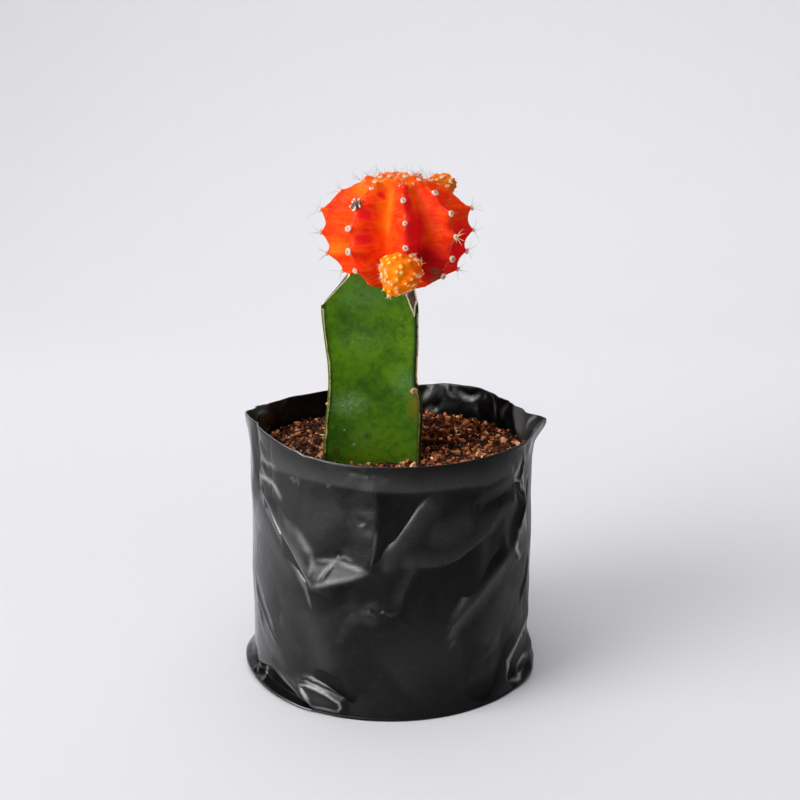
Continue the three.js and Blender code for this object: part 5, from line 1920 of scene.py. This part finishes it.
def add_area_light(name, place, target, size, power, spread, glossy_only):
    deselect()
    bpy.ops.object.light_add(type="AREA", location=place)
    light = bpy.context.active_object
    light.name = light.data.name = name
    light.data.shape = "RECTANGLE"
    light.data.size, light.data.size_y = size
    light.data.energy = power
    light.data.spread = math.radians(spread)
    light.visible_diffuse = not glossy_only
    aim(light, target)


def add_paper(settings):
    """The paper, flat under the pot and bent upwards behind it, with painted light making it paler towards the
    back.
    """
    deselect()
    bpy.ops.mesh.primitive_grid_add(x_subdivisions=8, y_subdivisions=90, size=1)
    floor = rename_new("floor")
    points = points_of(floor)
    run = (points[:, 1] * MM + 0.5) * PAPER_LENGTH  # along the paper, from its front edge
    bend = np.clip((run - PAPER_FLAT) / PAPER_BEND, 0, math.pi / 2)
    past = np.maximum(0, run - PAPER_FLAT - PAPER_BEND * math.pi / 2)
    points[:, 0] *= PAPER_WIDTH * MM
    points[:, 1] = np.minimum(run, PAPER_FLAT) + PAPER_FRONT + PAPER_BEND * np.sin(bend)
    points[:, 2] = PAPER_BEND * (1 - np.cos(bend)) + past
    move_points(floor, points)
    surface = Surface("paper", Roughness=0.75, Specular_IOR_Level=0.2)
    # painted light: the paper turns paler towards the back
    behind = surface.along(surface.millimetres(), 1).step(80, 460)
    paler = tuple(1.12 * each for each in settings.floor)
    floor.data.materials.append(surface.finish(surface.blend(behind, tuple(settings.floor), paler)))
    bpy.ops.object.shade_smooth()


def add_lights(scene, settings):
    """An even light from the room, and area lights."""
    world = bpy.data.worlds.new("studio")
    world.use_nodes = True
    background = world.node_tree.nodes["Background"]
    background.inputs["Color"].default_value = (0.96, 0.96, 1.0, 1)
    background.inputs["Strength"].default_value = settings.air
    scene.world = world
    # name, place, target, size, power, spread in degrees, and whether it shows only in reflections
    lights = [
        ("window", (-1.05, -0.6, 0.6), (0, 0, 0.08), (1.1, 1.1), settings.key, 70, False),
        ("window_sheen", (-1.0, -0.8, 0.62), (0, 0, 0.08), (1.4, 1.1), settings.sheen * 1.3, 180, True),
        ("key_sheen", (-0.55, -0.47, 0.85), (0, 0, 0.06), (0.36, 0.36), settings.sheen * 0.4, 180, True),
        ("overhead", (-0.1, 0.2, 1.5), (0, 0.5, 0.1), (1.6, 1.6), settings.overhead, 130, False),
    ]
    for light in lights:
        add_area_light(*light)


def add_camera(scene):
    """The camera, in front of the pot and a little above it."""
    bpy.ops.object.camera_add()
    camera = bpy.context.active_object
    camera.name = "camera"
    elevation = math.radians(ELEVATION)
    target = Vector(TARGET) * MM
    back = Vector((0, -math.cos(elevation), math.sin(elevation)))
    camera.location = target + back * DISTANCE * MM
    aim(camera, target)
    camera.data.sensor_width = SENSOR
    camera.data.lens = SENSOR * FOCAL_PIXELS / PICTURE_PIXELS
    camera.data.clip_start, camera.data.clip_end = 0.01, 20
    scene.camera = camera
    scene.view_settings.view_transform = "Standard"


class CACTUS_OT_stage(bpy.types.Operator):
    """Add the pale floor, the soft lights and the camera"""

    bl_idname = "cactus.stage"
    bl_label = "Stage"

    def execute(self, context):
        settings = context.scene.cactus_stage
        add_paper(settings)
        add_lights(context.scene, settings)
        add_camera(context.scene)
        return {"FINISHED"}


# Panel

class CACTUS_PT_pieces(bpy.types.Panel):
    """Lists the pieces and their settings"""

    bl_label = "Potted moon cactus"
    bl_idname = "CACTUS_PT_pieces"
    bl_space_type = "VIEW_3D"
    bl_region_type = "UI"
    bl_category = "Cactus"

    def draw(self, context):
        for operator, settings in PIECES:
            box = self.layout.box()
            box.operator(operator.bl_idname)
            group = getattr(context.scene, settings)
            for key in group.__annotations__:
                box.prop(group, key)


PIECES = [
    (CACTUS_OT_stage, "cactus_stage"),
    (CACTUS_OT_grow_bag, "cactus_bag"),
    (CACTUS_OT_potting_mix, "cactus_mix"),
    (CACTUS_OT_rootstock, "cactus_stock"),
    (CACTUS_OT_head, "cactus_head"),
    (CACTUS_OT_offsets, "cactus_offsets"),
]
SETTINGS = {
    "cactus_stage": StageSettings,
    "cactus_bag": BagSettings,
    "cactus_mix": MixSettings,
    "cactus_stock": StockSettings,
    "cactus_head": HeadSettings,
    "cactus_offsets": OffsetSettings,
}


def register():
    for name, group in SETTINGS.items():
        bpy.utils.register_class(group)
        setattr(bpy.types.Scene, name, PointerProperty(type=group))
    for operator, _ in PIECES:
        bpy.utils.register_class(operator)
    bpy.utils.register_class(CACTUS_PT_pieces)


def unregister():
    bpy.utils.unregister_class(CACTUS_PT_pieces)
    for operator, _ in reversed(PIECES):
        bpy.utils.unregister_class(operator)
    for name, group in reversed(SETTINGS.items()):
        delattr(bpy.types.Scene, name)
        bpy.utils.unregister_class(group)


def main():
    register()
    bpy.ops.cactus.stage()
    bpy.ops.cactus.grow_bag()
    bpy.ops.cactus.potting_mix()
    bpy.ops.cactus.rootstock()
    bpy.ops.cactus.head()
    bpy.ops.cactus.offsets()


if __name__ == "__main__":
    main()
